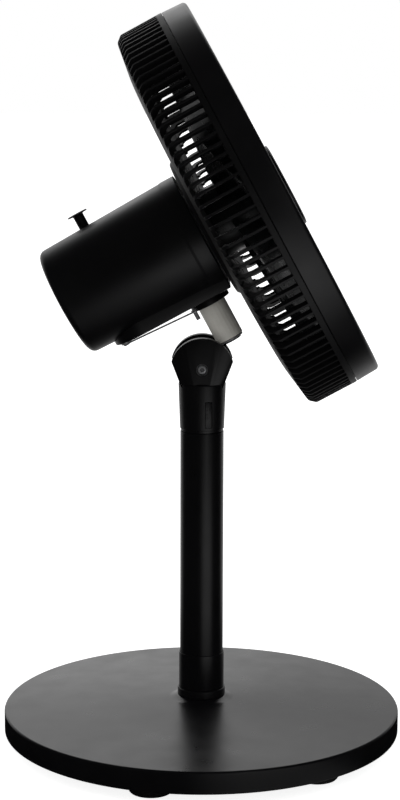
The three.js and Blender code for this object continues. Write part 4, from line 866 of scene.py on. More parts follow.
@dataclass
class Neck(Assembly):
    """The neck on the pole, its two ears, the latch and the pivot's screw."""

    groove: float = 2.2
    groove_depth: float = 0.8
    bottom_radius: float = 18.7
    top_radius: float = 20.1
    to_pivot: float = 12.3
    spigot: float = 30.0
    ear_radius: float = 26.6
    shoulder: float = 25.8
    ear_foot: float = 18.8
    ear_root: float = 0.6
    oval_x: float = 22.9
    oval_y: float = 19.3
    oval_spread: float = 2.5
    ear_half: float = 18.5
    slot_half: float = 11.0
    slot_depth: float = 23.5
    sink_radius: float = 5.2
    sink_depth: float = 2.6
    screw_radius: float = 3.7
    screw_height: float = 2.0
    socket_radius: float = 2.2
    socket_depth: float = 1.8
    cup_inner: float = 4.25
    cup_outer: float = 4.95
    cup_height: float = 1.3
    latch_x: float = 5.5
    latch_half: float = 2.7
    latch_proud: float = 0.5
    gap: float = 0.3

    def build(self) -> None:
        """Builds every piece of the neck."""
        self.fork()
        self.latch()
        self.pivot_screw()
        self.pivot_nut()

    def _levels(self) -> tuple[float, float, float]:
        """Gives the pole's top, the neck's top and the pivot's height."""
        pole_top = extent("pole_tube")[1].z
        pivot = axes.pivot.z / MM
        return pole_top, pivot - self.to_pivot, pivot

    def _ears(self) -> bpy.types.Object:
        """Makes the rounded block that the two ears are cut from."""
        _, neck_top, pivot = self._levels()
        rise = math.sqrt(self.ear_radius**2 - self.shoulder**2)
        start = math.atan2(rise, self.shoulder)
        root = neck_top - self.ear_root
        outline = [(-self.ear_foot, -root), (self.ear_foot, -root)]
        outline += [(self.ear_foot, -neck_top, 4), (self.shoulder, -pivot - rise)]
        for step in range(1, 29):
            angle = start + (math.pi - 2 * start) * step / 29
            x = self.ear_radius * math.cos(angle)
            outline.append((x, -pivot - self.ear_radius * math.sin(angle)))
        outline += [(-self.shoulder, -pivot - rise), (-self.ear_foot, -neck_top, 4)]
        ears = prism("ears", outline, -self.ear_half, self.ear_half, along_y())
        crown = pivot + self.ear_radius + 3
        turns = [FULL_TURN * k / MEDIUM for k in range(MEDIUM)]
        plan = [(self.oval_x * math.cos(t), self.oval_y * math.sin(t)) for t in turns]
        oval = prism("ear_oval", plan, root - 1, crown)
        pick(oval, lambda place: place.z > pivot)
        bpy.ops.transform.resize(value=(self.oval_spread, 1, 1))
        bpy.ops.object.mode_set(mode="OBJECT")
        combine(ears, oval, "INTERSECT")
        round_edges(ears, 1.2, 3, 50)
        return ears

    def fork(self) -> None:
        """Makes the neck with its groove, its ears and the slot between them."""
        pole_top, neck_top, pivot = self._levels()
        bore = extent("pole_tube")[1].x - 1.8
        groove_top = pole_top + self.gap + self.groove
        inner = self.bottom_radius - self.groove_depth
        profile = [
            (0, pole_top - self.spigot),
            (bore, pole_top - self.spigot),
            (bore, pole_top + self.gap),
            (inner, pole_top + self.gap, 0.2),
            (inner, groove_top, 0.2),
            (self.bottom_radius, groove_top, 0.5),
            (self.top_radius, neck_top, 1.6),
            (0, neck_top),
        ]
        fork = turned("moulded_fork", profile, MEDIUM, closed=False)
        fuse(fork, self._ears())
        wide = 2 * self.ear_radius
        sink = self.ear_half - self.sink_depth
        low, high = extent("neck_latch")
        pocket = [
            (self.latch_x - self.latch_half - self.gap, -30, low.z - self.gap),
            (self.latch_x + self.latch_half + self.gap, -7, high.z + self.gap),
        ]
        slot = block(
            (-wide, -self.slot_half, neck_top - 0.3), (wide, self.slot_half, pivot + wide)
        )
        at = along_y(0, pivot)
        cut(
            fork,
            slot,
            rod(self.slot_depth, -self.slot_half, self.slot_half, at),
            rod(self.sink_radius, -40, -sink, at),
            rod(self.sink_radius, sink, 40, at),
            rod(2.8, -40, 40, at),
            block(*pocket),
        )
        round_edges(fork, 0.45, 2, 40)
        self.settle(fork, "stand", MOULDED, "neck_fork")

    def latch(self) -> None:
        """Makes the latch button, whose face follows the neck and has two grip lines."""
        pole_top, neck_top, _ = self._levels()
        low, high = extent("neck_latch")
        bottom = pole_top + self.gap + self.groove
        skin = turned(
            "latch_skin",
            [
                (0, bottom),
                (self.bottom_radius + self.latch_proud, bottom),
                (self.top_radius + self.latch_proud, neck_top),
                (0, neck_top),
            ],
            FINE,
            closed=False,
        )
        left, right = self.latch_x - self.latch_half, self.latch_x + self.latch_half
        bar = block((left, -30, low.z), (right, high.y, high.z))
        combine(bar, skin, "INTERSECT")
        bar.name = bar.data.name = "latch_button"
        round_edges(bar, 0.5, 2, 40)
        for level in (0.41, 0.555, 0.70):
            z = low.z + level * (high.z - low.z)
            groove = block((left - 1, -30, z - 0.25), (right + 1, -18.9, z + 0.25))
            cut(bar, groove)
        self.settle(bar, "latch", MOULDED, "neck_latch")

    def pivot_screw(self) -> None:
        """Makes the screw in the near ear, with a hexagon socket, and the cup round it. A dark iron plug in the
        bottom of the socket is painted shade.
        """
        pivot = self._levels()[2]
        seat = -self.ear_half + self.sink_depth - self.gap
        far = self.ear_half - self.sink_depth + self.screw_height
        tip = seat - self.screw_height
        radius = self.screw_radius
        profile = [
            (0, tip),
            (self.socket_radius + 0.3, tip, 0.5),
            (radius, tip + 0.9, 0.9),
            (radius, seat),
            (2.5, seat),
            (2.5, far, 0.4),
            (0, far),
        ]
        at = along_y(0, pivot)
        screw = turned("pivot_screw", profile, SMALL, closed=False, place=at)
        socket = self._hexagon(self.socket_radius)
        cut(screw, prism("socket", socket, tip - 1, tip + self.socket_depth, at))
        self.settle(screw, "stand", ZINC, "pivot_bolt")
        rim = seat - self.cup_height
        ring = [
            (self.cup_inner, rim, 0.15),
            (self.cup_outer, rim, 0.15),
            (self.cup_outer, seat),
            (self.cup_inner, seat),
        ]
        self.settle(turned("screw_cup", ring, SMALL, place=at), "stand", IRON)
        # Painted shade: a dark iron hexagon fills the bottom of the socket, where the recess is in shade.
        core = self._hexagon(self.socket_radius - 0.05)
        painted_shade_plug = prism("screw_socket_painted_shade", core, tip + 0.8, tip + self.socket_depth, at)
        round_edges(painted_shade_plug, 0.15, 2)
        self.settle(painted_shade_plug, "stand", IRON)

    def _hexagon(self, radius: float) -> list[tuple[float, float]]:
        """Gives the corners of a hexagon."""
        turns = [k * math.pi / 3 for k in range(6)]
        return [(radius * math.cos(turn), radius * math.sin(turn)) for turn in turns]

    def pivot_nut(self) -> None:
        """Makes the hexagon nut in the far ear."""
        pivot = self._levels()[2]
        low, high = extent("pivot_nut")
        corners = self._hexagon((high.x - low.x) / 2)
        nut = prism("hexagon_nut", corners, low.y, high.y, along_y(0, pivot))
        cut(nut, rod(2.7, low.y - 3, high.y + 3, along_y(0, pivot)))
        round_edges(nut, 0.25, 2)
        self.settle(nut, "stand", ZINC, "pivot_nut")


# ---------------------------------------------------------------- bracket and swivel


@dataclass
class Bracket(Assembly):
    """The tilt bracket between the ears, the swivel boss and the swivel's link."""

    frame: Matrix = HEAD_FRAME
    tongue: float = 22.4
    tongue_half: float = 9.6
    half_width: float = 20.0
    corner: float = 9.0
    relief: float = 28.0
    flange: float = 4.0
    flange_radius: float = 23.4
    socket_radius: float = 19.1
    socket_bottom: float = 4.4
    bore_bottom: float = 8.0
    bore: float = 12.3
    axle: float = 5.3
    boss_radius: float = 17.2
    post_radius: float = 9.0
    post_bore: float = 5.0
    link_lift: float = 0.3
    link_wall: float = 0.9
    link_rise: float = 1.7

    def build(self) -> None:
        """Builds the bracket and the swivel."""
        self.bracket()
        self.post()
        self.link()
        self.crank()
        self.pin()

    def _plan(self, front: float) -> list[tuple[float, ...]]:
        """Gives the bracket's plan up to a front edge."""
        rear, side = -self.tongue, self.half_width
        return [
            (front, -side),
            (front, side),
            (rear, side, self.corner),
            (rear, -side, self.corner),
        ]

    def bracket(self) -> None:
        """Makes the bracket from its block, flange, socket and tongue."""
        top = extent("tilt_bracket", True)[1].z
        under = top - self.flange
        x = axes.swivel_x
        at = Matrix.Translation((x, 0, 0))
        body = prism("moulded_bracket", self._plan(x - self.socket_radius / 2), 0, under)
        tongue = [(self.tongue, -self.relief), (-self.tongue, -self.relief)]
        tongue += [(-self.tongue, 0)]
        for step in range(1, 24):
            angle = math.pi - math.pi * step / 24
            y = self.tongue * math.sin(angle)
            tongue.append((self.tongue * math.cos(angle), y))
        tongue += [(self.tongue, 0)]
        half = self.tongue_half
        flange = prism("flange", self._plan(x), under, top)
        disc = rod(self.flange_radius, under, top, at)
        fuse(flange, disc)
        round_edges(flange, 1.0, 3, 50)
        fuse(
            body,
            turned(
                "socket",
                [
                    (0, self.socket_bottom),
                    (self.socket_radius, self.socket_bottom, 2.0),
                    (self.socket_radius, under + 1),
                    (0, under + 1),
                ],
                MEDIUM,
                closed=False,
                place=at,
            ),
        )
        outer = self.flange_radius + 5
        cut(
            body,
            rod(self.relief, -outer, -half, along_y()),
            rod(self.relief, half, outer, along_y()),
        )
        fuse(body, prism("tongue", tongue, -half, half, along_y()))
        round_edges(body, 0.9, 3, 42)
        fuse(body, flange)
        cut(
            body,
            rod(self.axle, -outer, outer, along_y()),
            rod(self.bore, self.bore_bottom, top + 5, at),
        )
        self.settle(body, "tilt", MOULDED, "tilt_bracket")

    def post(self) -> None:
        """Makes the swivel post with the round boss that shows in the slit."""
        low, high = extent("swivel_post", True)
        bracket_top = extent("tilt_bracket", True)[1].z
        pad = extent("motor_cover", True)[0].z
        profile = [
            (self.post_bore, low.z),
            (self.post_radius, low.z),
            (self.post_radius, bracket_top + 0.3),
            (self.boss_radius, bracket_top + 0.3, 0.5),
            (self.boss_radius, pad - 0.3, 0.5),
            (self.post_radius, pad - 0.3),
            (self.post_radius, high.z, 0.5),
            (self.post_bore, high.z),
        ]
        at = Matrix.Translation((axes.swivel_x, 0, 0))
        post = turned("swivel_boss", profile, MEDIUM, place=at)
        self.settle(post, "head", MOULDED, "swivel_post")

    def _strip(
        self, name: str, ends: Sequence[Vector], half: float, low: float, high: float
    ) -> bpy.types.Object:
        """Makes a flat strip with round ends.

        Args:
            name: The new object's name.
            ends: The centres of its two ends.
            half: Half its width.
            low: Its lower face.
            high: Its upper face.

        Returns:
            The strip.
        """
        start, end = ends
        length = (end - start).length
        angle = math.atan2(end.y - start.y, end.x - start.x)
        outline = [
            (-half, -half, half * 0.999),
            (length + half, -half, half * 0.999),
            (length + half, half, half * 0.999),
            (-half, half, half * 0.999),
        ]
        at = Matrix.Translation((start.x, start.y, 0)) @ Matrix.Rotation(angle, 4, "Z")
        made = prism(name, outline, low, high, at)
        round_edges(made, 0.2, 2, 60)
        return made

    def _pins(self) -> tuple[Vector, Vector]:
        """Gives the link's two pins: on the bracket and on the crank."""
        low, high = extent("link_pin", True)
        anchor = (low + high) / 2
        anchor.z = 0
        reach = anchor - Vector((axes.swivel_x, 0, 0))
        return anchor, Vector((axes.crank.x + reach.x, axes.crank.y + reach.y, 0))

    def link(self) -> None:
        """Makes the pressed link, which rises from the bracket to the crank."""
        low, high = extent("swivel_link", True)
        ends = self._pins()
        base = low.z + self.link_lift
        link = self._strip("pressed_link", ends, 2.9, base, base + self.link_wall)
        pick(link, lambda place: place.x < ends[1].x + 6)
        bpy.ops.transform.translate(value=(0, 0, self.link_rise))
        bpy.ops.object.mode_set(mode="OBJECT")
        for end in ends:
            at = Matrix.Translation((end.x, end.y, 0))
            cut(link, rod(2.1, low.z - 3, high.z + 3, at))
        self.settle(link, "link", ZINC, "swivel_link")

    def crank(self) -> None:
        """Makes the crank: its arm, its shaft and the pin with a flat head."""
        low, high = extent("crank", True)
        pad = extent("motor_cover", True)[0].z
        arm_top = pad - 0.6
        pin = self._pins()[1]
        centre = Vector((axes.crank.x, axes.crank.y, 0))
        arm = self._strip("crank_arm", (centre, pin), 4.2, arm_top - 1.7, arm_top)
        at = Matrix.Translation((pin.x, pin.y, 0))
        link = extent("swivel_link", True)[0].z + self.link_lift + self.link_rise
        under, over = link - 0.7, link - 0.1
        head = turned(
            "pin_head",
            [(0, under), (2.7, under, 0.25), (2.7, over, 0.1), (0, over)],
            SMALL,
            closed=False,
            place=at,
        )
        stem = rod(1.8, under + 0.3, arm_top - 0.5, at)
        shaft = rod(4.0, arm_top - 1, high.z, Matrix.Translation(centre))
        gather(arm, head, stem, shaft)
        self.settle(arm, "crank", ZINC, "crank")

    def pin(self) -> None:
        """Makes the pin that holds the link to the bracket."""
        low, high = extent("link_pin", True)
        profile = [
            (0, low.z),
            (1.8, low.z),
            (1.8, high.z - 0.8),
            (2.7, high.z - 0.8, 0.2),
            (2.7, high.z, 0.35),
            (0, high.z),
        ]
        middle = (low + high) / 2
        at = Matrix.Translation((middle.x, middle.y, 0))
        made = turned("link_rivet", profile, SMALL, closed=False, place=at)
        self.settle(made, "tilt", ZINC, "link_pin")


# ---------------------------------------------------------------- motor cover


@dataclass
class MotorCover(Assembly):
    """The motor's shell with its pad, the pull knob, and the speed dial in its well."""

    frame: Matrix = HEAD_FRAME
    rear_radius: float = 47.3
    rear_edge: float = 6.0
    step_x: float = 40.0
    step_radius: float = 50.3
    lip_radius: float = 50.8
    lip_edge: float = 0.8
    wall: float = 2.5
    pad_half: float = 27.0
    pad_rear: float = -27.5
    pad_height: float = 14.0
    well_depth: float = 5.0
    dial_radius: float = 16.4
    stem_radius: float = 4.5
    knob_disc: float = 1.3

    def build(self) -> None:
        """Builds the cover, the knob and the dial."""
        self.shell()
        self.knob()
        self.dial()
        self.scale()

    def shell(self) -> None:
        """Makes the turned shell, joins the pad to it and opens its holes."""
        low, high = extent("motor_cover", True)
        rear, front, pad = low.x, high.x, low.z
        wall, edge = self.wall, self.rear_edge
        outer = turned(
            "moulded_motor_cover",
            [
                (0, rear),
                (self.rear_radius, rear, edge),
                (self.step_radius, self.step_x, 1.5),
                (self.lip_radius, self.step_x + 2.4, 1.5),
                (self.lip_radius, front, self.lip_edge),
                (0, front),
            ],
            FINE,
            closed=False,
            place=axes.fan,
        )
        plan = [(front, -self.pad_half), (front, self.pad_half)]
        for step in range(25):
            angle = math.pi / 2 + math.pi * step / 24
            x = self.pad_rear + self.pad_half * math.cos(angle)
            plan.append((x, self.pad_half * math.sin(angle)))
        foot = prism("pad", plan, pad, pad + self.pad_height)
        round_edges(foot, 1.2, 3, 50)
        fuse(outer, foot)
        room = turned(
            "room",
            [
                (0, rear + wall + self.well_depth),
                (self.rear_radius - wall - 3, rear + wall + self.well_depth, 3),
                (self.step_radius - wall, self.step_x),
                (self.step_radius - wall, front + 5),
                (0, front + 5),
            ],
            MEDIUM,
            closed=False,
            place=axes.fan,
        )
        well = turned(
            "well",
            [
                (0, rear - 5),
                (self.dial_radius + 1.4, rear - 5),
                (self.dial_radius + 1.4, rear - 0.9, 0.5),
                (self.dial_radius + 0.3, rear + 0.5, 0.5),
                (self.dial_radius + 0.3, rear + self.well_depth, 0.3),
                (0, rear + self.well_depth),
            ],
            MEDIUM,
            closed=False,
            place=axes.fan,
        )
        x, y = axes.crank.x, axes.crank.y
        fan_z = axes.fan.translation.z
        at = Matrix.Translation((x, y, 0))
        under = block((rear - 9, -80, pad - 9), (front + 9, 80, pad))
        cut(
            outer,
            room,
            well,
            rod(self.stem_radius + 0.3, fan_z, fan_z + 70, at),
            rod(4.3, pad - 5, pad + 30, at),
            rod(9.3, pad - 5, pad + 30, Matrix.Translation((axes.swivel_x, 0, 0))),
            rod(3.5, rear - 5, rear + 3 * self.well_depth, axes.fan),
            under,
        )
        self.settle(outer, "head", MOULDED, "motor_cover", crease=28)

    def knob(self) -> None:
        """Makes the pull knob: a thin disc with a shallow dish, on a straight stem."""
        low, high = extent("swivel_knob", True)
        radius = (high.x - low.x) / 2
        stem, top = self.stem_radius, high.z
        under = top - self.knob_disc
        profile = [
            (0, low.z),
            (stem, low.z),
            (stem, under, 1.4),
            (radius, under, 0.4),
            (radius, top, 0.5),
            (radius - 1.8, top, 0.5),
            (radius - 2.6, top - 0.35, 0.5),
            (0, top - 0.35),
        ]
        at = Matrix.Translation((axes.crank.x, axes.crank.y, 0))
        made = turned("pull_knob", profile, SMALL * 2, closed=False, place=at)
        self.settle(made, "knob", MOULDED, "swivel_knob")

    def dial(self) -> None:
        """Makes the dial: a scooped disc with a grip across it and a pointer."""
        rear = extent("speed_dial", True)[0].x
        front = extent("speed_dial", True)[1].x
        radius = self.dial_radius
        disc = turned(
            "speed_knob",
            [
                (0, rear + 2.6),
                (radius - 2.0, rear + 2.6, 0.9),
                (radius - 1.6, rear, 0.5),
                (radius, rear, 0.6),
                (radius, rear + 4.5, 0.3),
                (3.0, rear + 4.5),
                (3.0, front),
                (0, front),
            ],
            MEDIUM,
            closed=False,
        )
        grip = [
            (-radius + 1.2, -2.4, 1.2),
            (radius - 1.2, -2.4, 1.2),
            (radius - 1.2, 2.4, 1.2),
            (-radius + 1.2, 2.4, 1.2),
        ]
        bar = prism("grip", grip, rear + 0.1, rear + 3)
        round_edges(bar, 0.7, 3, 50)
        gather(disc, bar)
        shift(disc, axes.fan)
        self.settle(disc, "dial", MOULDED, "speed_dial")
        mark = prism(
            "dial_pointer",
            [
                (-radius + 2.2, -0.45, 0.4),
                (-radius + 7.2, -0.45, 0.4),
                (-radius + 7.2, 0.45, 0.4),
                (-radius + 2.2, 0.45, 0.4),
            ],
            rear + 0.02,
            rear + 0.5,
            axes.fan,
        )
        self.settle(mark, "dial", NYLON)

    def scale(self) -> None:
        """Prints the numbers 0 to 3 round the dial, on the cover's rear face."""
        rear = extent("motor_cover", True)[0].x
        fan_z = axes.fan.translation.z
        reach = self.dial_radius + 8.5
        face = Matrix(((0, 0, -1, 0), (-1, 0, 0, 0), (0, 1, 0, 0), (0, 0, 0, 1)))
        for number in range(4):
            angle = math.radians(45 * number)
            clear_selection()
            bpy.ops.object.text_add()
            text = bpy.context.object
            text.name = f"speed_number_{number}"
            text.data.body = str(number)
            text.data.size = 7
            text.data.extrude = 0.05
            text.data.align_x = "CENTER"
            text.data.align_y = "CENTER"
            activate(text)
            bpy.ops.object.convert(target="MESH")
            y = reach * math.sin(angle)
            z = fan_z + reach * math.cos(angle)
            shift(text, Matrix.Translation((rear, y, z)) @ face)
            activate(text)
            bpy.ops.object.mode_set(mode="EDIT")
            tidy_mesh()
            self.settle(text, "head", NYLON)


# ---------------------------------------------------------------- guard


@dataclass
class Guard(Assembly):
    """The rear guard, the front ring, the grille and its cap."""

    frame: Matrix = HEAD_FRAME
    rib_count: int = 120
    rib_width: float = 2.2
    rib_depth: float = 5.4
    wall: float = 3.2
    hub_radius: float = 60.0
    cone_start: tuple[float, float] = (63.0, 59.7)
    cone_end: tuple[float, float] = (140.0, 62.5)
    corner: tuple[float, float] = (168.0, 66.8)
    side_x: float = 71.5
    slot_inner: float = 161.0
    slot_end: float = 104.5
    spoke_width: float = 1.8
    tie_radius: float = 99.0
    fin_count: int = 36
    fin_width: float = 2.4
    fin_sweep: float = math.radians(38)
    fin_steps: int = 10

    def build(self) -> None:
        """Builds the guard and the front."""
        self.rear_guard()
        self.clamp_nut()
        self.front_ring()
        self.grille()
        self.cap()

    def _cone(self, radius: float) -> float:
        """Gives how far forward the rear wall stands at a radius."""
        (r0, x0), (r1, x1) = self.cone_start, self.cone_end
        r2, x2 = self.corner
        if radius <= r1:
            return x0 + (radius - r0) * (x1 - x0) / (r1 - r0)
        return x1 + (radius - r1) * (x2 - x1) / (r2 - r1)

    def _bar(
        self, name: str, outline: Outline, width: float, count: int, edge: float
    ) -> bpy.types.Object:
        """Makes a bar whose side view is an outline, and repeats it round the axis.

        Args:
            name: The new object's name.
            outline: Corners (radius, place along the axis) of the side view.
            width: The bar's width.
            count: How many bars there are.
            edge: The width of its rounded edges.

        Returns:
            The bars.
        """
        upright = Matrix.Rotation(math.pi / 2, 4, "X")
        bar = prism(name, outline, -width / 2, width / 2, upright)
        round_edges(bar, edge, 1, 50)
        repeat_round(bar, count)
        return bar

    def rear_guard(self) -> None:
        """Makes the guard from its rings, its side ribs and its spokes."""
        low, high = extent("rear_guard", True)
        radius = high.y
        rear, front = low.x, high.x
        wall = self.wall
        hub = turned(
            "moulded_guard",
            [
                (12.3, rear),
                (self.hub_radius, rear, 1.5),
                (*self.cone_start, 1.5),
                (self.hub_radius + 5, self._cone(self.hub_radius + 5), 0.3),
                (self.hub_radius + 5, self._cone(self.hub_radius + 5) + wall, 0.3),
                (self.hub_radius, rear + 3, 1.5),
                (12.3, rear + 3),
            ],
            FINE,
        )
        r0, r1 = self.cone_end[0] - 2, self.slot_inner
        band = turned(
            "rear_band",
            [
                (r0, self._cone(r0), 0.4),
                (*self.cone_end, 12),
                (r1, self._cone(r1), 0.5),
                (r1, self._cone(r1) + wall, 0.5),
                (self.cone_end[0], self.cone_end[1] + wall),
                (r0, self._cone(r0) + wall, 0.4),
            ],
            FINE * 2,
        )
        rim = turned(
            "front_band",
            [
                (radius - wall, self.slot_end, 0.3),
                (radius, self.slot_end, 0.3),
                (radius, front, 0.5),
                (radius - wall, front, 0.3),
            ],
            FINE * 2,
        )
        r2 = self.tie_radius
        tie = turned(
            "tie_ring",
            [
                (r2 - 1.2, self._cone(r2 - 1.2), 0.3),
                (r2 + 1.2, self._cone(r2 + 1.2), 0.3),
                (r2 + 1.2, self._cone(r2) + wall, 0.3),
                (r2 - 1.2, self._cone(r2) + wall, 0.3),
            ],
            FINE,
        )
        inner = radius - self.rib_depth
        start = self.slot_inner - 1.5
        rib = [
            (start, self._cone(start)),
            (self.corner[0] - 0.3, self._cone(self.corner[0] - 0.3), 3),
            (radius, self.side_x + 0.4, 3),
            (radius, self.slot_end + 1),
            (inner, self.slot_end + 1),
            (inner, self.side_x + 3.2, 2),
            (start + 4, self._cone(start + 4) + self.rib_depth, 1.5),
            (start, self._cone(start) + self.rib_depth),
        ]
        ribs = self._bar("side_ribs", rib, self.rib_width, self.rib_count, 0.2)
        spokes = []
        zones = (
            (self.hub_radius + 3, r2, self.rib_count // 2),
            (r2 - 1, r0 + 3, self.rib_count),
        )
        for number, (first, last, count) in enumerate(zones):
            side = [
                (first, self._cone(first)),
                (last, self._cone(last)),
                (last, self._cone(last) + wall),
                (first, self._cone(first) + wall),
            ]
            spokes.append(
                self._bar(f"spokes_{number}", side, self.spoke_width, count, 0.3)
            )
        gather(hub, band, rim, tie, ribs, *spokes)
        shift(hub, axes.fan)
        self.settle(hub, "head", MATT, "rear_guard", crease=40)

    def clamp_nut(self) -> None:
        """Makes the nut that clamps the guard, with grip flutes round it."""
        low, high = extent("guard_nut", True)
        radius = high.y
        outline = []
        for step in range(72):
            angle = FULL_TURN * step / 72
            r = radius - (0.9 if step % 6 in (0, 1) else 0)
            outline.append((r * math.cos(angle), r * math.sin(angle)))
        nut = prism("clamp_nut", outline, low.x, high.x)
        cut(nut, rod(12.3, low.x - 3, high.x + 3))
        round_edges(nut, 0.4, 2, 40)
        shift(nut, axes.fan)
        self.settle(nut, "head", MOULDED, "guard_nut")

    def front_ring(self) -> None:
        """Makes the front ring with its rounded shoulder and the lip behind it."""
        low, high = extent("front_ring", True)
        radius, front = high.y, high.x
        seam = extent("rear_guard", True)[1].x + 0.3
        lip = radius - 3.3
        grille = extent("front_grille", True)[1].y + 0.3
        draft = radius - (front - seam) * 0.054
        ring = turned(
            "moulded_ring",
            [
                (lip - 2.5, low.x),
                (lip, low.x, 0.4),
                (lip, seam),
                (radius, seam, 0.6),
                (draft, front, 3.4),
                (radius - 11.8, front, 1.4),
                (radius - 11.8, front - self.wall),
                (grille, front - self.wall),
                (grille, front - 3 * self.wall),
                (lip - 2.5, seam + self.wall),
            ],
            FINE * 2,
            place=axes.fan,
        )
        self.settle(ring, "head", MOULDED, "front_ring")

    def _fin(self, start: float, end: float) -> list[tuple[float, float]]:
        """Gives the front view of a swept fin.

        Args:
            start: The radius at its inner end.
            end: The radius at its outer end.

        Returns:
            The outline of the fin.
        """
        opening = extent("front_ring", True)[1].y - 12
        sides: tuple[list, list] = ([], [])
        for step in range(self.fin_steps + 1):
            radius = start + (end - start) * step / self.fin_steps
            sweep = self.fin_sweep * (radius - 41) / (opening - 41)
            for side, sign in zip(sides, (-1, 1)):
                angle = math.pi / self.fin_count + sweep
                angle += sign * self.fin_width / 2 / radius
                side.append((-radius * math.cos(angle), radius * math.sin(angle)))
        return [*sides[0], *reversed(sides[1])]

    def grille(self) -> None:
        """Makes the front grille: hub, rim, two tie rings and the swept fins."""
        low, high = extent("front_grille", True)
        rear, front = low.x, high.x
        radius = high.y
        step = front - self.wall
        opening = extent("front_ring", True)[1].y - 12.1
        hub = turned(
            "moulded_grille",
            [(8.3, rear), (41, rear, 0.6), (41, front, 1.2), (8.3, front)],
            FINE,
        )
        rim = turned(
            "grille_rim",
            [
                (opening - 4.5, rear, 0.5),
                (radius, rear, 0.4),
                (radius, step),
                (opening, step),
                (opening, front, 0.8),
                (opening - 4.5, front, 0.8),
            ],
            FINE * 2,
        )
        parts = [rim]
        for middle in (82.0, 121.0):
            ring = [
                (middle - 1.1, rear + 1.5, 0.4),
                (middle + 1.1, rear + 1.5, 0.4),
                (middle + 1.1, front - 0.4, 0.5),
                (middle - 1.1, front - 0.4, 0.5),
            ]
            parts.append(turned("tie", ring, FINE))
        for start, turn in ((40.0, 0.0), (81.5, 0.5)):
            fin = prism("fin", self._fin(start, opening - 3), rear, front - 0.2)
            round_edges(fin, 0.5, 2, 50)
            shift(fin, Matrix.Rotation(FULL_TURN * turn / self.fin_count, 4, "Z"))
            repeat_round(fin, self.fin_count)
            parts.append(fin)
        gather(hub, *parts)
        shift(hub, axes.fan)
        self.settle(hub, "head", MOULDED, "front_grille", crease=40)

    def cap(self) -> None:
        """Makes the low cap in the middle of the front."""
        low, high = extent("front_cap", True)
        radius = high.y
        front = high.x
        foot = extent("front_ring", True)[1].x
        cap = turned(
            "moulded_cap",
            [
                (0, low.x),
                (8, low.x),
                (8, foot),
                (radius, foot, 0.2),
                (radius, front - 0.9, 1.0),
                (radius * 0.9, front - 0.3, 4),
                (0, front),
            ],
            FINE,
            closed=False,
            place=axes.fan,
        )
        self.settle(cap, "head", MOULDED, "front_cap")


# ---------------------------------------------------------------- impeller


@dataclass
class Impeller(Assembly):
    """The blades on their hub, and the nut that holds them."""

    frame: Matrix = HEAD_FRAME
    blades: int = 7
    root_rear: float = 80.0
    root_front: float = 110.0
    tip_rear: float = 90.0
    tip_front: float = 117.0
    root_span: float = math.radians(34)
    tip_span: float = math.radians(40)
    sweep: float = math.radians(16)
    camber: float = 0.1
    thickness: float = 1.9
    hub_radius: float = 30.0
    skirt_wall: float = 3.0
    skirt_gap: float = 6.3
    along: int = 12
    across: int = 8

    def build(self) -> None:
        """Builds the impeller and its nut."""
        self.impeller()
        self.nut()

    def _bend(self, radial: float, chord: float, tip: float) -> Vector:
        """Gives a point of the blade's middle surface.

        Args:
            radial: The share of the way from root to tip.
            chord: The share of the way from the rear edge to the front edge.
            tip: The tip's radius.

        Returns:
            The point in the fan's frame.
        """
        radius = (self.hub_radius - 2) * (1 - radial) + tip * radial
        rear = self.root_rear + radial * (self.tip_rear - self.root_rear)
        front = self.root_front + radial * (self.tip_front - self.root_front)
        span = self.root_span + radial * (self.tip_span - self.root_span)
        bow = 4 * self.camber * (front - rear) * chord * (1 - chord)
        angle = self.sweep * radial**2 + (chord - 0.5) * span
        along = rear + chord * (front - rear) - bow
        return Vector((-radius * math.sin(angle), radius * math.cos(angle), along))

    def _blade(self, tip: float) -> bpy.types.Object:
        """Makes one blade: a grid bent to the twist, given its wall and rounded."""
        clear_selection()
        bpy.ops.mesh.primitive_grid_add(
            x_subdivisions=self.along, y_subdivisions=self.across, size=2
        )
        blade = bpy.context.object
        blade.name = blade.data.name = "blade"
        for vertex in blade.data.vertices:
            radial = (vertex.co.x + 1) / 2
            chord = (vertex.co.y + 1) / 2
            corner = max(0.0, radial - 0.86) / 0.14
            chord = 0.5 + (chord - 0.5) * (1 - 0.22 * corner**2)
            vertex.co = self._bend(radial, chord, tip)
        apply_modifier(blade, "SOLIDIFY", thickness=self.thickness, offset=0)
        apply_modifier(blade, "SUBSURF", levels=1, render_levels=1)
        activate(blade)
        bpy.ops.object.mode_set(mode="EDIT")
        tidy_mesh()
        return blade

    def impeller(self) -> None:
        """Makes the hub and the blades round it."""
        low, high = extent("impeller", True)
        tip = high.y
        rear = low.x
        front = extent("impeller_nut", True)[0].x - 0.3
        hub = turned(
            "smoke_impeller",
            [
                (4.3, rear),
                (self.hub_radius, rear, 1.0),
                (self.hub_radius, front, 5.5),
                (13, front, 1),
                (11.5, front - 1.2, 0.6),
                (4.3, front - 1.2),
            ],
            FINE,
        )
        inner = self.hub_radius - self.skirt_wall
        skirt_rear = extent("rear_guard", True)[0].x + self.skirt_gap
        skirt = turned(
            "hub_skirt",
            [
                (inner, skirt_rear, 0.4),
                (self.hub_radius, skirt_rear, 0.8),
                (self.hub_radius, rear + 1),
                (inner, rear + 1),
            ],
            FINE,
        )
        blade = self._blade(tip)
        repeat_round(blade, self.blades)
        gather(hub, skirt, blade)
        shift(hub, axes.fan)
        self.settle(hub, "spin", SMOKE, "impeller", crease=50)

    def nut(self) -> None:
        """Makes the domed nut, with flutes for the fingers."""
        low, high = extent("impeller_nut", True)
        radius = high.y
        nut = turned(
            "impeller_knob",
            [
                (0, low.x),
                (radius, low.x, 0.4),
                (radius, high.x - 2.6, 2.4),
                (radius * 0.55, high.x, 2),
                (0, high.x),
            ],
            SMALL * 2,
            closed=False,
        )
        flute = rod(
            2.0, low.x - 2, high.x + 3, Matrix.Translation((radius + 1.3, 0, 0))
        )
        repeat_round(flute, 8)
        cut(nut, flute)
        shift(nut, axes.fan)
        self.settle(nut, "spin", MOULDED, "impeller_nut")


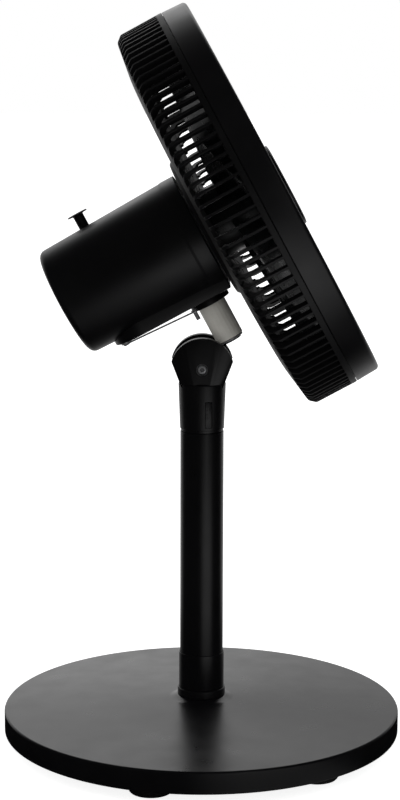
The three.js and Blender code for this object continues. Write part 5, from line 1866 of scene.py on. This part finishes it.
# ---------------------------------------------------------------- studio


@dataclass
class Studio:
    """The camera, the floor, the surroundings and the lights."""

    camera_x: float = -0.0018
    camera_distance: float = 1.6139
    camera_height: float = 0.5647
    pitch: float = 0.1646
    roll: float = 0.0027
    sensor: float = 36.0
    lens: float = 87.03
    floor_size: float = 60.0
    # The painted highlight patch on the floor, seen only in reflections: its bearing, the half-width where it is
    # full, the half-width where it has faded out, and the distance beyond which it fades out.
    card_bearing: float = 0.47
    card_core: float = 0.22
    card_edge: float = 0.62
    card_far: float = 1.72

    def build(self) -> None:
        """Sets up the studio."""
        self.camera()
        self.floor()
        self.surroundings()
        self.lights()
        bpy.context.scene.view_settings.view_transform = "Standard"

    def camera(self) -> None:
        """Places the camera before the fan, looking level and a little down."""
        bpy.ops.object.camera_add()
        camera = bpy.context.object
        camera.name = "studio_camera"
        camera.data.sensor_width = self.sensor
        camera.data.lens = self.lens
        camera.data.clip_start = 0.05
        place = Vector((self.camera_x, -self.camera_distance, self.camera_height))
        look = Matrix.Rotation(math.pi / 2 - self.pitch, 4, "X")
        turn = look @ Matrix.Rotation(self.roll, 4, "Z")
        camera.matrix_world = Matrix.Translation(place) @ turn
        bpy.context.scene.camera = camera

    def floor(self) -> None:
        """Lays a white floor, which keeps the fan's shadow. In reflections it shows painted light instead: a
        painted reflection that is bright behind the fan and dark before it, a painted highlight patch to the front
        right, and painted shade near the fan.
        """
        clear_selection()
        bpy.ops.mesh.primitive_plane_add(size=self.floor_size)
        floor = bpy.context.object
        floor.name = "studio_floor"
        material = bpy.data.materials.new("floor_white_painted_reflection")
        material.use_nodes = True
        tree = material.node_tree
        nodes, links = tree.nodes, tree.links
        nodes.clear()
        path = nodes.new("ShaderNodeLightPath")
        matt = nodes.new("ShaderNodeBsdfDiffuse")
        matt.inputs["Color"].default_value = (0.8, 0.8, 0.8, 1)
        white = nodes.new("ShaderNodeEmission")
        white.inputs["Strength"].default_value = 0.86
        lit = nodes.new("ShaderNodeAddShader")
        links.new(matt.outputs[0], lit.inputs[0])
        links.new(white.outputs[0], lit.inputs[1])
        seen = nodes.new("ShaderNodeMixShader")
        links.new(path.outputs["Is Camera Ray"], seen.inputs["Fac"])
        links.new(matt.outputs[0], seen.inputs[1])
        links.new(lit.outputs[0], seen.inputs[2])
        place = nodes.new("ShaderNodeTexCoord")
        parts = nodes.new("ShaderNodeSeparateXYZ")
        links.new(place.outputs["Object"], parts.inputs[0])
        reach = nodes.new("ShaderNodeVectorMath")
        reach.operation = "LENGTH"
        links.new(place.outputs["Object"], reach.inputs[0])
        # Seen only in reflections, the floor glows as a painted reflection, though it is no lamp: bright behind
        # the fan and dark before it.
        far = self._calculate(tree, "DIVIDE", parts.outputs["Y"], reach.outputs["Value"])
        behind = self._fade(tree, far, (0.35, 1.0), (0.01, 0.9))
        # Painted highlight: a glowing patch of floor to the front right of the fan, seen only in reflections,
        # which puts a highlight on the pole and the base's rim.
        ahead = self._calculate(tree, "MULTIPLY", parts.outputs["Y"], -1)
        bearing = self._calculate(tree, "ARCTAN2", parts.outputs["X"], ahead)
        off = self._calculate(tree, "SUBTRACT", bearing, self.card_bearing)
        wide = self._calculate(tree, "ABSOLUTE", off, 0)
        across = self._fade(tree, wide, (self.card_edge, self.card_core), (0, 0.85))
        distance = reach.outputs["Value"]
        near = self._fade(tree, distance, (self.card_far, 1.35), (0, 1))
        # Painted shade: the floor's glow in reflections is dimmed near the fan, where its shadow falls.
        clear = self._fade(tree, distance, (0.3, 0.6), (0.2, 1))
        painted_highlight = self._calculate(tree, "MULTIPLY", across, near)
        both = self._calculate(tree, "ADD", behind, painted_highlight)
        glow = self._calculate(tree, "MULTIPLY", both, clear)
        # The painted reflection: an emission that only glossy rays see.
        painted_reflection = nodes.new("ShaderNodeEmission")
        links.new(glow, painted_reflection.inputs["Strength"])
        final = nodes.new("ShaderNodeMixShader")
        links.new(path.outputs["Is Glossy Ray"], final.inputs["Fac"])
        links.new(seen.outputs[0], final.inputs[1])
        links.new(painted_reflection.outputs[0], final.inputs[2])
        output = nodes.new("ShaderNodeOutputMaterial")
        links.new(final.outputs[0], output.inputs["Surface"])
        floor.data.materials.append(material)

    def _calculate(
        self,
        tree: bpy.types.NodeTree,
        operation: str,
        first: bpy.types.NodeSocket,
        second: bpy.types.NodeSocket | float,
    ) -> bpy.types.NodeSocket:
        """Adds a sum to some nodes.

        Args:
            tree: The nodes.
            operation: The kind of sum.
            first: Its first value.
            second: Its second value, a number or another node's.

        Returns:
            The result.
        """
        node = tree.nodes.new("ShaderNodeMath")
        node.operation = operation
        tree.links.new(first, node.inputs[0])
        if isinstance(second, bpy.types.NodeSocket):
            tree.links.new(second, node.inputs[1])
        else:
            node.inputs[1].default_value = second
        return node.outputs[0]

    def _fade(
        self,
        tree: bpy.types.NodeTree,
        value: bpy.types.NodeSocket,
        start_end: tuple[float, float],
        low_high: tuple[float, float],
    ) -> bpy.types.NodeSocket:
        """Adds a smooth step between two levels.

        Args:
            tree: The nodes.
            value: What the step reads.
            start_end: The values at which it starts and ends.
            low_high: The levels before and after it.

        Returns:
            The level.
        """
        node = tree.nodes.new("ShaderNodeMapRange")
        node.interpolation_type = "SMOOTHSTEP"
        node.inputs["From Min"].default_value = start_end[0]
        node.inputs["From Max"].default_value = start_end[1]
        node.inputs["To Min"].default_value = low_high[0]
        node.inputs["To Max"].default_value = low_high[1]
        tree.links.new(value, node.inputs["Value"])
        return node.outputs["Result"]

    def surroundings(self) -> None:
        """Makes the surroundings: white behind the fan and dark before it."""
        world = bpy.data.worlds.new("studio")
        bpy.context.scene.world = world
        world.use_nodes = True
        nodes, links = world.node_tree.nodes, world.node_tree.links
        nodes.clear()
        path = nodes.new("ShaderNodeLightPath")
        place = nodes.new("ShaderNodeTexCoord")
        parts = nodes.new("ShaderNodeSeparateXYZ")
        links.new(place.outputs["Generated"], parts.inputs[0])
        behind = self._fade(
            world.node_tree, parts.outputs["Y"], (0.45, 1.0), (0.01, 1.0)
        )
        soft = nodes.new("ShaderNodeBackground")
        soft.inputs["Strength"].default_value = 0.6
        shiny = nodes.new("ShaderNodeBackground")
        aside = self._fade(
            world.node_tree, parts.outputs["X"], (-0.14, 0.12), (1.0, 0.62)
        )
        backdrop = self._calculate(world.node_tree, "MULTIPLY", behind, aside)
        links.new(backdrop, shiny.inputs["Strength"])
        white = nodes.new("ShaderNodeBackground")
        for ground in (soft, shiny, white):
            ground.inputs["Color"].default_value = (1, 1, 1, 1)
        first = nodes.new("ShaderNodeMixShader")
        links.new(path.outputs["Is Glossy Ray"], first.inputs["Fac"])
        links.new(soft.outputs[0], first.inputs[1])
        links.new(shiny.outputs[0], first.inputs[2])
        final = nodes.new("ShaderNodeMixShader")
        links.new(path.outputs["Is Camera Ray"], final.inputs["Fac"])
        links.new(first.outputs[0], final.inputs[1])
        links.new(white.outputs[0], final.inputs[2])
        output = nodes.new("ShaderNodeOutputWorld")
        links.new(final.outputs[0], output.inputs["Surface"])

    def lights(self) -> None:
        """Hangs a wide soft light over and behind the fan and a tall one beside the camera."""
        self._area("overhead", (0, 2.2, 1.9), (0, 0, 0.3), (2.6, 1.2), 9.0)
        self._area("tall_side", (1.15, -2.45, 0.9), (0, 0, 0.35), (0.55, 2.0), 1.3)

    def _area(
        self,
        name: str,
        place: Sequence[float],
        target: Sequence[float],
        size: tuple[float, float],
        power: float,
    ) -> None:
        """Adds an area light.

        Args:
            name: The light's name.
            place: Where it hangs.
            target: What it shines at.
            size: Its width and height.
            power: Its power in watts.
        """
        bpy.ops.object.light_add(type="AREA", location=place)
        light = bpy.context.object
        light.name = name
        light.data.shape = "RECTANGLE"
        light.data.size, light.data.size_y = size
        light.data.energy = power
        aim = Vector(target) - Vector(place)
        light.rotation_euler = aim.to_track_quat("-Z", "Y").to_euler()


# ---------------------------------------------------------------- main


def dress_inner_nodes() -> None:
    """Gives every CAD node the finish of its slot."""
    by_slot = {finish.slot.value: finish for finish in FINISHES}
    for part in frame["record"]["subparts"]:
        node = frame["nodes"][part["node"]]
        finish = by_slot[part["material_slot"]]
        node.data.materials.clear()
        node.data.materials.append(finish.material())


def main() -> None:
    """Builds the studio and every sub-assembly, in order."""
    logging.basicConfig(level=logging.INFO, format="%(name)s %(message)s")
    Studio().build()
    dress_inner_nodes()
    for assembly in (Stand(), Neck(), Bracket(), MotorCover(), Guard(), Impeller()):
        log.info("building the %s", type(assembly).__name__.lower())
        assembly.build()
    clear_selection()


if __name__ == "__main__":
    main()
